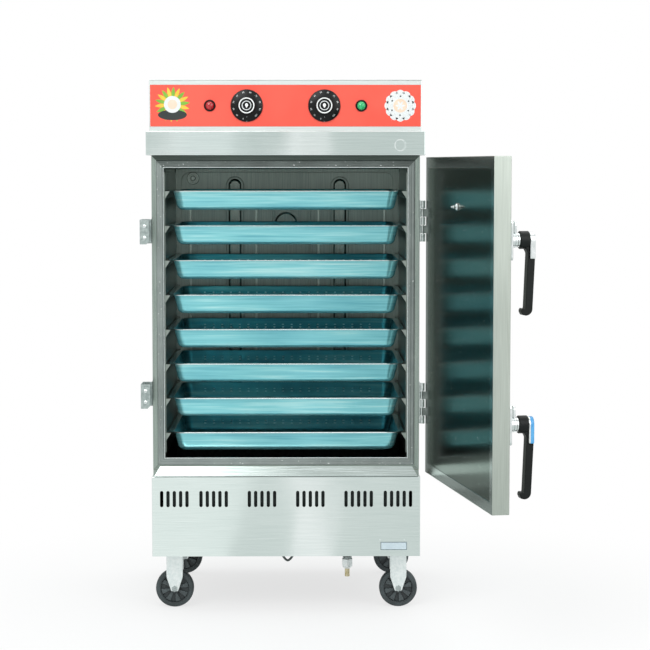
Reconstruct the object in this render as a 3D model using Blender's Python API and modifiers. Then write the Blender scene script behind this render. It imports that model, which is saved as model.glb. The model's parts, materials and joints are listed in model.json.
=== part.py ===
# Rice steamer cabinet: eight trays in a stainless steam chamber on castors, its door standing open.
# Metres, +Z up, front towards -Y. A moving piece hangs from an empty on its joint's axis.

import math

import bmesh
import bpy
from mathutils import Matrix, Vector

# Fits shared by every piece
seat_gap = 0.0003
cut_overrun = 0.004
weld_distance = 0.00001

# Trays and how they sit in the chamber
tray_count = 8
tray_width = 0.600
tray_depth = 0.400
tray_height = 0.048
tray_wall = 0.0010
tray_end_flange = 0.0155
tray_front_flange = 0.0110
tray_corner_radius = 0.045
tray_side_slope = 0.012
tray_bottom_round = 0.010
tray_pitch = 0.0874
tray_setback = 0.015
tray_side_clearance = 0.006
tray_top_clearance = 0.0575
tray_bottom_clearance = 0.0147
tray_rear_clearance = 0.048

# Front frame round the opening, from its outer edge inwards
jamb_strip = 0.0125
jamb_groove = 0.0155
jamb_lip = 0.0025
jamb_groove_depth = 0.004
jamb_return = 0.012
jamb_sheet = 0.0012
seal_proud = 0.0058

# Body sheets
front_y = -0.300
rear_service_space = 0.0770
casing_sheet = 0.0012
liner_sheet = 0.0010
insulation_slack = 0.0005
tank_height = 0.180
tank_sheet = 0.0012

# Base
skirt_clearance = 0.144
skirt_height = 0.204
skirt_proud = 0.0035
skirt_sheet = 0.0015
skirt_flange = 0.0145
floor_pan_rim = 0.030
floor_pan_sheet = 0.0020
jamb_rise = 0.0175
ledge_sheet = 0.0010
ledge_top_overlap = 0.0085
ledge_forward = 0.0085
ledge_end_slope = 0.016
vent_side_inset = 0.05675
vent_outer_spacing = 0.0995
vent_slots = 5
vent_slot_height = 0.0415
vent_slot_width = 0.0085
vent_slot_pitch = 0.0160
vent_drop = 0.057

# Header and control box
header_height = 0.060
header_side_overhang = 0.0115
header_front_overhang = 0.030
header_rear_overhang = 0.006
header_sheet = 0.0012
header_rim = 0.034
control_height = 0.1255
control_side_inset = 0.008
control_front_inset = 0.018
control_sheet = 0.0012
lid_thickness = 0.0015
fascia_thickness = 0.0020
fascia_side_margin = 0.0025
fascia_foot = 0.0112
fascia_head = 0.0105
knob_spread = 0.0967
lamp_spread = 0.189
knob_radius = 0.0402
knob_skirt = 0.0070
knob_collar_radius = 0.0300
knob_grip_radius = 0.0205
knob_depth = 0.0230
knob_bore_depth = 0.0140
shaft_radius = 0.0030
shaft_play = 0.0004
unit_width = 0.052
unit_depth = 0.042
lamp_radius = 0.0148
lamp_lens_radius = 0.0105
lamp_depth = 0.0110
lamp_stem_radius = 0.0080
lamp_stem_length = 0.030
gland_side_inset = 0.100
gland_radius = 0.0115
gland_neck_radius = 0.0085
gland_length = 0.016
gland_thread_radius = 0.0078
gland_thread_length = 0.010
gland_bore_radius = 0.0048
gland_play = 0.0004

# Runners
runner_sheet = 0.0020
runner_reach = 0.0132
runner_slope = 0.018
runner_thickness = 0.0012
runner_end_gap = 0.012

# Door
door_thickness = 0.0395
door_latch_reveal = 0.0055
door_hinge_overhang = 0.0005
door_foot = 0.0050
door_head_gap = 0.0048
door_face_gap = 0.0008
door_sheet = 0.0012
door_open_angle = 99.5
pin_side_offset = 0.0085
pin_front_offset = 0.0010
valve_hinge_distance = 0.330
valve_drop = 0.118
valve_base_radius = 0.0095
valve_base_height = 0.0040
valve_post_radius = 0.0042
valve_height = 0.0150
valve_stem_length = 0.020
valve_wing_span = 0.032
valve_wing_height = 0.0085
valve_wing_thickness = 0.0030
valve_play = 0.0005

# Hinges
hinge_height = 0.104
hinge_knuckles = 5
hinge_knuckle_gap = 0.0004
hinge_barrel_radius = 0.0058
hinge_pin_radius = 0.0024
hinge_bore_play = 0.0004
hinge_leaf_width = 0.033
hinge_leaf_thickness = 0.0028
hinge_upper_drop = 0.1595
hinge_lower_rise = 0.1740

# Handles and keepers
handle_upper_drop = 0.185
handle_lower_rise = 0.1985
handle_edge_distance = 0.0270
handle_plate_height = 0.090
handle_plate_width = 0.046
handle_plate_thickness = 0.0056
handle_plate_round = 0.008
tongue_length = 0.0420
tongue_width = 0.019
tongue_thickness = 0.0052
tongue_standoff = 0.0061
spindle_radius = 0.0170
spindle_length = 0.0180
spindle_core_radius = 0.0090
stub_radius = 0.0060
stub_play = 0.0004
hub_radius = 0.0200
hub_length = 0.0213
cap_thickness = 0.0124
cap_drop = 0.0415
cap_width = 0.036
grip_width = 0.026
grip_length = 0.1670
grip_thickness = 0.0160
grip_neck_reach = 0.0045
grip_neck_drop = 0.0085
grip_lean = 0.0050
grip_toe_reach = 0.0100
grip_toe_depth = 0.0090
grip_heel_radius = 0.0150
keeper_height = 0.061
keeper_reach = 0.0248
keeper_sheet = 0.0020
keeper_tail = 0.040
keeper_side_gap = 0.0010
keeper_bite_gap = 0.0009
keeper_screw_spread = 0.028
keeper_screw_radius = 0.0022

# Castors
wheel_radius = 0.0492
wheel_width = 0.030
wheel_rim = 0.0105
wheel_web = 0.012
wheel_hub_radius = 0.0135
wheel_sides = 24
axle_radius = 0.0060
axle_play = 0.0003
axle_head_radius = 0.0080
axle_head_height = 0.0035
fork_gap = 0.0020
fork_sheet = 0.0025
fork_width = 0.0417
fork_tip_width = 0.0175
fork_shoulder = 0.0305
fork_below_axle = 0.0065
crown_lap = 0.0015
castor_plate_thickness = 0.0030
castor_plate_length = 0.082
castor_plate_width = 0.062
castor_side_inset = 0.0525
front_castor_setback = 0.075
rear_castor_setback = 0.055
swivel_trail = 0.028
swivel_bearing_radius = 0.0200
swivel_bearing_height = 0.0110
swivel_running_gap = 0.0004
king_pin_radius = 0.0050
king_pin_play = 0.0004

# Heater, drain and lead
heater_tube_radius = 0.0060
heater_rise = 0.022
heater_side_margin = 0.070
heater_end_margin = 0.050
heater_flange_width = 0.150
heater_flange_height = 0.034
heater_flange_thickness = 0.0040
drain_x = 0.159
drain_setback = 0.200
drain_pipe_radius = 0.0065
drain_hex_radius = 0.0155
drain_hex_height = 0.034
drain_hex_drop = 0.037
drain_tail = 0.021
drain_play = 0.0008
drain_flange_radius = 0.018
drain_flange_thickness = 0.0025
lead_radius = 0.0030
lead_x = 0.0025
lead_setback = 0.150
lead_spread = 0.048
lead_drop = 0.036
lead_points = 12
lead_sag_power = 1.7
lead_play = 0.0006

# Worked out from the sizes above: heights
skirt_top_z = skirt_clearance + skirt_height
jamb_width = jamb_strip + jamb_groove + jamb_lip
jamb_bottom_z = skirt_top_z + jamb_rise
opening_bottom_z = jamb_bottom_z + jamb_width
lowest_rim_z = opening_bottom_z + tray_bottom_clearance + tray_height
highest_rim_z = lowest_rim_z + (tray_count - 1) * tray_pitch
opening_top_z = highest_rim_z + tray_top_clearance
jamb_top_z = opening_top_z + jamb_width
header_bottom_z = jamb_top_z + seat_gap
header_top_z = header_bottom_z + header_height
control_bottom_z = header_top_z + seat_gap
control_top_z = control_bottom_z + control_height
tank_top_z = opening_bottom_z - seat_gap
tank_bottom_z = tank_top_z - tank_height

# Worked out from the sizes above: half widths and depths
opening_half = tray_width / 2 + tray_side_clearance
body_half = opening_half + jamb_width
skirt_half = body_half + skirt_proud
header_half = body_half + header_side_overhang
control_half = header_half - control_side_inset
jamb_back_y = front_y + jamb_return
tray_front_y = front_y + tray_setback
chamber_back_y = tray_front_y + tray_depth + tray_rear_clearance
insulation_wall = jamb_width - liner_sheet - casing_sheet - insulation_slack - insulation_slack
wool_back_y = chamber_back_y + liner_sheet + insulation_slack + insulation_wall
back_y = wool_back_y + rear_service_space + casing_sheet
header_front_y = front_y - header_front_overhang
header_back_y = back_y + header_rear_overhang
control_front_y = header_front_y + control_front_inset
fascia_front_y = control_front_y - seat_gap - seat_gap
skirt_front_y = front_y - skirt_proud
skirt_back_y = back_y + skirt_proud
gland_x = control_half - gland_side_inset
seal_depth = seal_proud + jamb_groove_depth - seat_gap

# Door in its closed place, before it turns on the hinge pin
door_left_x = door_latch_reveal - body_half
door_right_x = body_half + door_hinge_overhang
door_bottom_z = jamb_bottom_z - door_foot
door_top_z = header_bottom_z - door_head_gap
door_back_y = front_y - seal_proud - door_face_gap
door_face_y = door_back_y - door_thickness
pin_x = body_half + pin_side_offset
pin_y = front_y - pin_front_offset

parts = bpy.data.collections.new("rice_steamer_cabinet")
guides = bpy.data.collections.new("cutters_and_guides")
pivot_places = {}


def clear_scene():
    for old in list(bpy.data.objects):
        bpy.data.objects.remove(old, do_unlink=True)
    bpy.context.scene.collection.children.link(parts)
    bpy.context.scene.collection.children.link(guides)


def finish(name, colour, roughness, metallic):
    made = bpy.data.materials.new(name)
    made.use_nodes = True
    shader = made.node_tree.nodes["Principled BSDF"]
    shader.inputs["Base Color"].default_value = (*colour, 1.0)
    shader.inputs["Roughness"].default_value = roughness
    shader.inputs["Metallic"].default_value = metallic
    return made


finishes = {
    "brushed_steel": finish("brushed_steel", (0.55, 0.60, 0.58), 0.32, 1.0),
    "mirror_steel": finish("mirror_steel", (0.62, 0.65, 0.64), 0.08, 1.0),
    "galvanised": finish("galvanised", (0.42, 0.45, 0.44), 0.50, 1.0),
    "chrome": finish("chrome", (0.80, 0.82, 0.82), 0.10, 1.0),
    "zinc": finish("zinc", (0.70, 0.74, 0.73), 0.38, 1.0),
    "filmed_steel": finish("filmed_steel", (0.20, 0.55, 0.58), 0.25, 0.4),
    "red_panel": finish("red_panel", (0.80, 0.13, 0.10), 0.35, 0.0),
    "black_plastic": finish("black_plastic", (0.02, 0.024, 0.025), 0.40, 0.0),
    "red_lens": finish("red_lens", (0.75, 0.03, 0.03), 0.15, 0.0),
    "green_lens": finish("green_lens", (0.03, 0.55, 0.12), 0.15, 0.0),
    "silicone": finish("silicone", (0.30, 0.33, 0.34), 0.60, 0.0),
    "mineral_wool": finish("mineral_wool", (0.62, 0.56, 0.38), 0.95, 0.0),
    "wheel_rubber": finish("wheel_rubber", (0.045, 0.055, 0.057), 0.55, 0.0),
    "brass": finish("brass", (0.70, 0.52, 0.22), 0.30, 1.0),
}


def pivot(name, place, parent=None):
    made = bpy.data.objects.new(name, None)
    made.empty_display_type = "ARROWS"
    parts.objects.link(made)
    settle(made, place, parent)
    pivot_places[name] = Vector(place)
    return made


def settle(piece, place, parent):
    parent = parent or root
    piece.location = Vector(place) - pivot_places.get(parent.name, Vector())
    piece.parent = parent
    return piece


def piece_from(mesh, name, surface, place, parent=None, rotation=(0, 0, 0), guide=False):
    mesh.name = name
    made = bpy.data.objects.new(name, mesh)
    made.rotation_euler = rotation
    if guide:
        guides.objects.link(made)
        made.hide_render = True
        made.display_type = "WIRE"
    else:
        parts.objects.link(made)
        mesh.materials.append(finishes[surface])
    return settle(made, place, parent)


def finished(bm, name):
    mesh = bpy.data.meshes.new(name)
    bm.to_mesh(mesh)
    bm.free()
    return mesh


def smooth_round(mesh):
    # Round sides shaded smooth, edges sharper than 35 degrees kept crisp.
    mesh.shade_smooth()
    mesh.set_sharp_from_angle(angle=math.radians(35))
    return mesh


def box(name, surface, low, high, parent=None, guide=False):
    bm = bmesh.new()
    bmesh.ops.create_cube(bm, size=1)
    size = Vector(high) - Vector(low)
    bmesh.ops.scale(bm, vec=size, verts=bm.verts)
    centre = (Vector(low) + Vector(high)) / 2
    return piece_from(finished(bm, name), name, surface, centre, parent, guide=guide)


def rod(name, surface, radius, start, end, parent=None, sides=20, guide=False):
    start = Vector(start)
    along = Vector(end) - start
    bm = bmesh.new()
    bmesh.ops.create_cone(bm, cap_ends=True, segments=sides, radius1=radius, radius2=radius,
                          depth=along.length)
    turn = along.to_track_quat("Z", "Y").to_euler()
    mesh = smooth_round(finished(bm, name))
    return piece_from(mesh, name, surface, start + along / 2, parent, turn, guide)


def shell(name, surface, low, high, wall, open_sides, parent=None, rim=0, rim_side=None):
    # A sheet box without its open sides; a rim leaves a flange of that width round one of them.
    bm = bmesh.new()
    bmesh.ops.create_cube(bm, size=1)
    size = Vector(high) - Vector(low)
    bmesh.ops.scale(bm, vec=size, verts=bm.verts)
    directions = {"left": (-1, 0, 0), "right": (1, 0, 0), "front": (0, -1, 0),
                  "back": (0, 1, 0), "bottom": (0, 0, -1), "top": (0, 0, 1)}
    for side in open_sides:
        facing = Vector(directions[side])
        bm.normal_update()
        face = max(bm.faces, key=lambda f: f.normal.dot(facing))
        if side == rim_side:
            bmesh.ops.inset_region(bm, faces=[face], thickness=rim, use_boundary=True,
                                   use_even_offset=True)
        bmesh.ops.delete(bm, geom=[face], context="FACES")
    centre = (Vector(low) + Vector(high)) / 2
    made = piece_from(finished(bm, name), name, surface, centre, parent)
    thicken(made, wall)
    return made


def thicken(piece, wall, offset=-1):
    solid = piece.modifiers.new("sheet", "SOLIDIFY")
    solid.thickness = wall
    solid.offset = offset
    solid.use_even_offset = True
    return piece


def stepped_frame(name, surface, half, low_z, high_z, y, steps, wall, parent=None):
    # A rectangular frame pressed from sheet: each step insets the face, then moves it to the front.
    bm = bmesh.new()
    bmesh.ops.create_grid(bm, x_segments=1, y_segments=1, size=1)
    bmesh.ops.scale(bm, vec=(half, (high_z - low_z) / 2, 1), verts=bm.verts)
    bmesh.ops.rotate(bm, matrix=Matrix.Rotation(math.pi / 2, 3, "X"), verts=bm.verts)
    bm.normal_update()
    bm.faces.ensure_lookup_table()
    face = bm.faces[0]
    for inset, forward in steps:
        if inset:
            bmesh.ops.inset_region(bm, faces=[face], thickness=inset, use_boundary=True,
                                   use_even_offset=True)
        if forward:
            grown = bmesh.ops.extrude_discrete_faces(bm, faces=[face])
            face = grown["faces"][0]
            bmesh.ops.translate(bm, vec=(0, -forward, 0), verts=face.verts)
    bmesh.ops.delete(bm, geom=[face], context="FACES")
    centre = (0, y, (low_z + high_z) / 2)
    made = piece_from(finished(bm, name), name, surface, centre, parent)
    return thicken(made, wall)


def folded_sheet(name, surface, path, length, wall, place, parent=None, rotation=(0, 0, 0)):
    # A strip whose bends follow the path, drawn out along its own Z and thickened to one side.
    bm = bmesh.new()
    corners = [bm.verts.new((x, y, -length / 2)) for x, y in path]
    bends = [bm.edges.new(pair) for pair in zip(corners, corners[1:])]
    grown = bmesh.ops.extrude_edge_only(bm, edges=bends)
    raised = [part for part in grown["geom"] if isinstance(part, bmesh.types.BMVert)]
    bmesh.ops.translate(bm, vec=(0, 0, length), verts=raised)
    made = piece_from(finished(bm, name), name, surface, place, parent, rotation)
    return thicken(made, wall)


def closed_mesh(curve):
    # The curve's surface as a mesh, its caps welded on.
    drawn = bpy.data.objects.new(curve.name, curve)
    guides.objects.link(drawn)
    bpy.context.view_layer.update()
    shape = drawn.evaluated_get(bpy.context.evaluated_depsgraph_get())
    mesh = bpy.data.meshes.new_from_object(shape)
    bpy.data.objects.remove(drawn, do_unlink=True)
    bpy.data.curves.remove(curve)
    bm = bmesh.new()
    bm.from_mesh(mesh)
    bmesh.ops.remove_doubles(bm, verts=bm.verts, dist=weld_distance)
    return smooth_round(finished(bm, "closed"))


def prism(name, surface, outline, thickness, place, parent=None, rotation=(0, 0, 0), guide=False):
    # A flat outline, cut from plate of that thickness, centred on its own XY plane.
    curve = bpy.data.curves.new(name, "CURVE")
    curve.dimensions = "2D"
    curve.fill_mode = "BOTH"
    curve.extrude = thickness / 2
    line = curve.splines.new("POLY")
    line.points.add(len(outline) - 1)
    for point, (x, y) in zip(line.points, outline):
        point.co = (x, y, 0, 1)
    line.use_cyclic_u = True
    return piece_from(closed_mesh(curve), name, surface, place, parent, rotation, guide)


def turned(name, surface, profile, place, parent=None, rotation=(0, 0, 0), steps=24, ring=False,
           guide=False):
    # A profile of (radius, height) pairs, run down its outer side and turned about its own Z.
    bm = bmesh.new()
    stations = [bm.verts.new((radius, 0, height)) for radius, height in profile]
    pairs = list(zip(stations, stations[1:]))
    if ring:
        pairs.append((stations[-1], stations[0]))
    for pair in pairs:
        bm.edges.new(pair)
    made = piece_from(finished(bm, name), name, surface, place, parent, rotation, guide)
    screw = made.modifiers.new("turn", "SCREW")
    screw.steps = steps
    screw.render_steps = steps
    screw.use_merge_vertices = True
    screw.merge_threshold = weld_distance
    screw.use_smooth_shade = True
    return made


def tube(name, surface, points, radius, place, parent=None, guide=False, resolution=2):
    # A round bar or cable along a line of points, with filled ends.
    curve = bpy.data.curves.new(name, "CURVE")
    curve.dimensions = "3D"
    curve.bevel_depth = radius
    curve.bevel_resolution = resolution
    curve.use_fill_caps = True
    line = curve.splines.new("POLY")
    line.points.add(len(points) - 1)
    for point, where in zip(line.points, points):
        point.co = (*where, 1)
    return piece_from(closed_mesh(curve), name, surface, place, parent, guide=guide)


def combine(piece, others, operation):
    for other in others:
        step = piece.modifiers.new(other.name, "BOOLEAN")
        step.object = other
        step.operation = operation
        step.solver = "EXACT"
    return piece


def cut(piece, *cutters):
    return combine(piece, cutters, "DIFFERENCE")


def fuse(piece, *additions):
    return combine(piece, additions, "UNION")


def arc(centre, radius, start, end, count):
    # Points on a circle from one angle to another, in degrees.
    angles = [math.radians(start + (end - start) * i / count) for i in range(count + 1)]
    return [(centre[0] + radius * math.cos(a), centre[1] + radius * math.sin(a)) for a in angles]


def obround(length, width, count=5):
    # A slot outline with round ends, standing along Y.
    reach = (length - width) / 2
    return arc((0, reach), width / 2, 0, 180, count) + arc((0, -reach), width / 2, 180, 360, count)


def rounded_rectangle(width, height, radius, count=4):
    corners = []
    quarters = ((1, 1, 0), (-1, 1, 90), (-1, -1, 180), (1, -1, 270))
    for across, up, start in quarters:
        centre = (across * (width / 2 - radius), up * (height / 2 - radius))
        corners += arc(centre, radius, start, start + 90, count)
    return corners


upright = (math.pi / 2, 0, 0)      # turns an outline drawn in XY to face the front
to_front = (math.pi / 2, 0, 0)     # turns a turned piece's top towards the front
to_back = (-math.pi / 2, 0, 0)     # and towards the back


def make_base():
    skirt = shell("base_skirt", "brushed_steel", (-skirt_half, skirt_front_y, skirt_clearance),
                  (skirt_half, skirt_back_y, skirt_top_z), skirt_sheet, ("bottom", "top"),
                  rim=skirt_flange, rim_side="top")
    middle = skirt_half - vent_side_inset - vent_outer_spacing
    inner = middle / 3
    outline = obround(vent_slot_height, vent_slot_width)
    slots = []
    for centre in (inner, middle, middle + vent_outer_spacing):
        for side in (-1, 1):
            for slot in range(vent_slots):
                x = side * centre + (slot - (vent_slots - 1) / 2) * vent_slot_pitch
                slots.append(prism("vent_slot", None, outline, skirt_sheet + 2 * cut_overrun,
                                   (x, skirt_front_y, skirt_top_z - vent_drop),
                                   rotation=upright, guide=True))
    cut(skirt, *slots)
    inner = skirt_half - skirt_sheet - seat_gap
    pan_front_y = skirt_front_y + skirt_sheet + seat_gap
    pan_back_y = skirt_back_y - skirt_sheet - seat_gap
    pan = shell("floor_pan", "galvanised", (-inner, pan_front_y, skirt_clearance),
                (inner, pan_back_y, skirt_clearance + floor_pan_rim), floor_pan_sheet, ("top",))
    under = skirt_clearance - cut_overrun
    over = skirt_clearance + floor_pan_sheet + cut_overrun
    holes = [(drain_x, front_y + drain_setback, drain_pipe_radius + drain_play)]
    for side in (-1, 1):
        holes.append((lead_x + side * lead_spread / 2, front_y + lead_setback,
                      lead_radius + lead_play))
    for x, y, radius in holes:
        cut(pan, rod("pan_hole", None, radius, (x, y, under), (x, y, over), guide=True))
    ledge_top_z = jamb_bottom_z + ledge_top_overlap
    ledge_bottom_z = skirt_top_z + seat_gap
    top_y = front_y - seat_gap
    rise = ledge_top_z - ledge_bottom_z
    foot = ledge_sheet - rise
    path = [(0, 0), (-ledge_forward, foot), (skirt_flange - ledge_forward, foot)]
    ledge = folded_sheet("drip_ledge", "brushed_steel", path, 2 * body_half, ledge_sheet,
                         (0, top_y, ledge_top_z), rotation=(math.pi / 2, 0, math.pi / 2))
    for side in (-1, 1):
        slope = [(0, cut_overrun), (side * (ledge_end_slope + cut_overrun), cut_overrun),
                 (side * (ledge_end_slope + cut_overrun), -rise - cut_overrun),
                 (side * ledge_end_slope, -rise - cut_overrun)]
        place = (side * (body_half - ledge_end_slope), front_y, ledge_top_z)
        depth = 2 * (skirt_flange + ledge_forward)
        if side < 0:
            slope.reverse()
        cut(ledge, prism("ledge_end", None, slope, depth, place, rotation=upright, guide=True))


def make_body():
    casing = shell("outer_casing", "brushed_steel",
                   (-body_half, jamb_back_y + seat_gap, skirt_top_z + seat_gap),
                   (body_half, back_y - casing_sheet - seat_gap, jamb_top_z), casing_sheet,
                   ("front", "back", "bottom"))
    box("back_panel", "brushed_steel", (-body_half, back_y - casing_sheet, skirt_top_z + seat_gap),
        (body_half, back_y, jamb_top_z))
    liner_half = opening_half + liner_sheet
    liner = shell("chamber_liner", "brushed_steel", (-liner_half, jamb_back_y + seat_gap, opening_bottom_z),
                  (liner_half, chamber_back_y + liner_sheet, opening_top_z + liner_sheet),
                  liner_sheet, ("front", "bottom"))
    wool_half = liner_half + insulation_slack + insulation_wall
    wool_top_z = opening_top_z + liner_sheet + insulation_slack + insulation_wall
    shell("insulation_jacket", "mineral_wool",
          (-wool_half, jamb_back_y + 2 * seat_gap, skirt_top_z + seat_gap),
          (wool_half, wool_back_y, wool_top_z), insulation_wall, ("front", "bottom"))
    shell("water_tank", "brushed_steel",
          (-liner_half, jamb_back_y + 3 * seat_gap, tank_bottom_z),
          (liner_half, chamber_back_y + liner_sheet, tank_top_z), tank_sheet, ("top",))
    steps = [(0, jamb_return), (jamb_strip, -jamb_groove_depth), (jamb_groove, jamb_groove_depth),
             (jamb_lip, -jamb_return)]
    stepped_frame("door_jamb", "brushed_steel", body_half, jamb_bottom_z, jamb_top_z, jamb_back_y,
                  steps, jamb_sheet)
    seal_outer = body_half - jamb_strip - seat_gap
    seal_width = jamb_groove - 2 * seat_gap
    seal_y = front_y + jamb_groove_depth - seat_gap - seal_depth
    stepped_frame("door_seal", "silicone", seal_outer, jamb_bottom_z + jamb_strip + seat_gap,
                  jamb_top_z - jamb_strip - seat_gap, seal_y, [(seal_width, 0)], seal_depth)
    return casing, liner


def rib_outline():
    # The rack seen from the front: a strip with one sloping shelf a tray, worked from the top down.
    top = opening_top_z - opening_bottom_z - runner_end_gap
    edge = [(0, runner_end_gap), (0, top), (runner_sheet, top)]
    for tray in range(tray_count):
        shelf = highest_rim_z - tray * tray_pitch - tray_wall - seat_gap - opening_bottom_z
        edge += [(runner_sheet, shelf), (runner_reach, shelf),
                 (runner_reach, shelf - runner_thickness),
                 (runner_sheet, shelf - runner_thickness - runner_slope)]
    return edge + [(runner_sheet, runner_end_gap)]


def make_runners():
    length = chamber_back_y - tray_front_y - runner_end_gap
    centre_y = tray_front_y + length / 2
    outline = rib_outline()
    for name, side in (("runner_rack_left", -1), ("runner_rack_right", 1)):
        path = [(-side * x, z) for x, z in outline]
        if side < 0:
            path.reverse()
        prism(name, "brushed_steel", path, length,
              (side * (opening_half - seat_gap), centre_y, opening_bottom_z), rotation=upright)


def tray_mesh():
    # The flange, then the sloping wall, then the round at the bottom, all inset from one outline.
    bm = bmesh.new()
    bmesh.ops.create_grid(bm, x_segments=1, y_segments=1, size=1)
    bmesh.ops.scale(bm, vec=(tray_width / 2, tray_depth / 2, 1), verts=bm.verts)
    bmesh.ops.bevel(bm, geom=bm.verts[:], offset=tray_corner_radius, segments=4, profile=0.5,
                    affect="VERTICES", offset_type="OFFSET")
    bm.normal_update()
    bm.faces.ensure_lookup_table()
    face = bm.faces[0]
    bmesh.ops.inset_region(bm, faces=[face], thickness=tray_front_flange, use_boundary=True,
                                   use_even_offset=True)
    end_extra = tray_end_flange - tray_front_flange
    for corner in face.verts:
        corner.co.x -= math.copysign(end_extra, corner.co.x)
    wall_drop = tray_height - tray_bottom_round
    for inset, drop in ((tray_side_slope, wall_drop), (tray_bottom_round, tray_bottom_round)):
        bmesh.ops.inset_region(bm, faces=[face], thickness=inset, use_boundary=True,
                                   use_even_offset=True)
        bmesh.ops.translate(bm, vec=(0, 0, -drop), verts=face.verts)
    return finished(bm, "tray")


def make_trays():
    mesh = tray_mesh()
    centre_y = tray_front_y + tray_depth / 2
    for tray in range(tray_count):
        rim_z = highest_rim_z - tray * tray_pitch
        name = f"tray_{tray + 1}"
        slide = pivot(f"{name}_slide", (0, tray_front_y, rim_z))
        made = piece_from(mesh.copy(), name, "filmed_steel", (0, centre_y, rim_z), slide)
        thicken(made, tray_wall)
    bpy.data.meshes.remove(mesh)


def make_header():
    shell("header_canopy", "brushed_steel", (-header_half, header_front_y, header_bottom_z),
          (header_half, header_back_y, header_top_z), header_sheet, ("bottom",),
          rim=header_rim, rim_side="bottom")
    housing = shell("control_housing", "brushed_steel",
                    (-control_half, control_front_y, control_bottom_z),
                    (control_half, back_y, control_top_z), control_sheet, ("bottom", "top"))
    window_half = control_half - fascia_side_margin
    window_low = control_bottom_z + fascia_foot
    window_high = control_top_z - fascia_head
    cut(housing, box("fascia_window", None,
                     (-window_half, control_front_y - cut_overrun, window_low),
                     (window_half, control_front_y + cut_overrun, window_high), guide=True))
    middle_z = (control_bottom_z + control_top_z) / 2
    cut(housing, rod("gland_hole", None, gland_thread_radius + gland_play,
                     (gland_x, back_y - cut_overrun, middle_z),
                     (gland_x, back_y + cut_overrun, middle_z), guide=True))
    collar = gland_length / 3
    profile = [(gland_bore_radius, gland_length), (gland_neck_radius, gland_length),
               (gland_radius, gland_length - collar), (gland_radius, 0), (gland_thread_radius, 0),
               (gland_thread_radius, -gland_thread_length), (gland_bore_radius, -gland_thread_length)]
    turned("supply_gland", "black_plastic", profile, (gland_x, back_y + seat_gap, middle_z),
           rotation=to_back, steps=20, ring=True)
    lid_z = control_top_z + seat_gap
    box("control_lid", "brushed_steel", (-control_half, control_front_y, lid_z),
        (control_half, back_y, lid_z + lid_thickness))
    fascia = box("control_fascia", "red_panel",
                 (seat_gap - window_half, fascia_front_y, window_low + seat_gap),
                 (window_half - seat_gap, fascia_front_y + fascia_thickness, window_high - seat_gap))
    panel_z = (window_low + window_high) / 2
    behind = fascia_front_y + fascia_thickness + cut_overrun
    before = fascia_front_y - cut_overrun
    for x, radius in ((-knob_spread, shaft_radius + shaft_play), (knob_spread, shaft_radius + shaft_play),
                      (-lamp_spread, lamp_stem_radius + shaft_play),
                      (lamp_spread, lamp_stem_radius + shaft_play)):
        cut(fascia, rod("fascia_hole", None, radius, (x, before, panel_z), (x, behind, panel_z),
                        guide=True))
    for name, x, surface in (("lamp_red", -lamp_spread, "red_lens"),
                             ("lamp_green", lamp_spread, "green_lens")):
        step = lamp_depth / 3
        profile = [(0, lamp_depth), (lamp_lens_radius / 2, lamp_depth - step / 3),
                   (lamp_lens_radius, step), (lamp_radius, step), (lamp_radius, 0),
                   (lamp_stem_radius, 0), (lamp_stem_radius, -lamp_stem_length),
                   (0, -lamp_stem_length)]
        turned(name, surface, profile, (x, fascia_front_y - seat_gap, panel_z), rotation=to_front,
               steps=20)
    for name, x in (("timer", -knob_spread), ("thermostat", knob_spread)):
        make_control(name, x, panel_z)


def make_control(name, x, panel_z):
    # The unit behind the panel, with a shaft that the knob turns on.
    front = fascia_front_y + fascia_thickness + seat_gap
    half = unit_width / 2
    unit = box(f"{name}_unit", "black_plastic", (x - half, front, panel_z - half),
               (x + half, front + unit_depth, panel_z + half))
    knob_back = fascia_front_y - seat_gap
    tip = knob_back - knob_bore_depth + seat_gap
    fuse(unit, rod(f"{name}_shaft", None, shaft_radius, (x, tip, panel_z),
                   (x, front + cut_overrun, panel_z), sides=12, guide=True))
    axis = pivot(f"{name}_knob_axis", (x, knob_back, panel_z))
    shoulder = knob_skirt + (knob_depth - knob_skirt) / 8
    profile = [(0, knob_depth), (knob_grip_radius - knob_skirt / 4, knob_depth),
               (knob_grip_radius, knob_depth - knob_skirt / 4), (knob_grip_radius, shoulder),
               (knob_collar_radius, knob_skirt), (knob_radius, knob_skirt / 2), (knob_radius, 0),
               (shaft_radius + shaft_play, 0), (shaft_radius + shaft_play, knob_bore_depth),
               (0, knob_bore_depth)]
    turned(f"{name}_knob", "black_plastic", profile, (x, knob_back, panel_z), axis, to_front,
           steps=24)


def make_heater():
    # Two hairpins of tube over the tank's floor, joined to a flange on the rear wall.
    low_z = tank_bottom_z + tank_sheet + heater_rise
    rear_y = chamber_back_y + liner_sheet - tank_sheet - seat_gap
    near_y = tray_front_y + heater_end_margin
    reach = opening_half - heater_side_margin
    inner = heater_flange_width / 2 - heater_flange_height / 2
    bend = (reach - inner) / 2
    points = [(-inner, rear_y - heater_flange_thickness / 2, low_z)]
    turn = [(-inner - bend, near_y + bend)]
    points += [(x, y, low_z) for x, y in arc(turn[0], bend, 0, -180, 6)]
    far = rear_y - heater_end_margin - bend
    points += [(-reach, far, low_z)]
    slack = heater_rise
    points += [(-reach + slack, far + slack, low_z + slack), (reach - slack, far + slack, low_z + slack)]
    points += [(reach, far, low_z)]
    points += [(x, y, low_z) for x, y in arc((inner + bend, near_y + bend), bend, 0, -180, 6)]
    points += [(inner, rear_y - heater_flange_thickness / 2, low_z)]
    half_wide = heater_flange_width / 2
    half_high = heater_flange_height / 2
    flange = box("heater_element", "galvanised",
                 (-half_wide, rear_y - heater_flange_thickness, low_z - half_high),
                 (half_wide, rear_y, low_z + half_high))
    fuse(flange, tube("heater_tube", None, points, heater_tube_radius, (0, 0, 0), guide=True))


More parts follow.
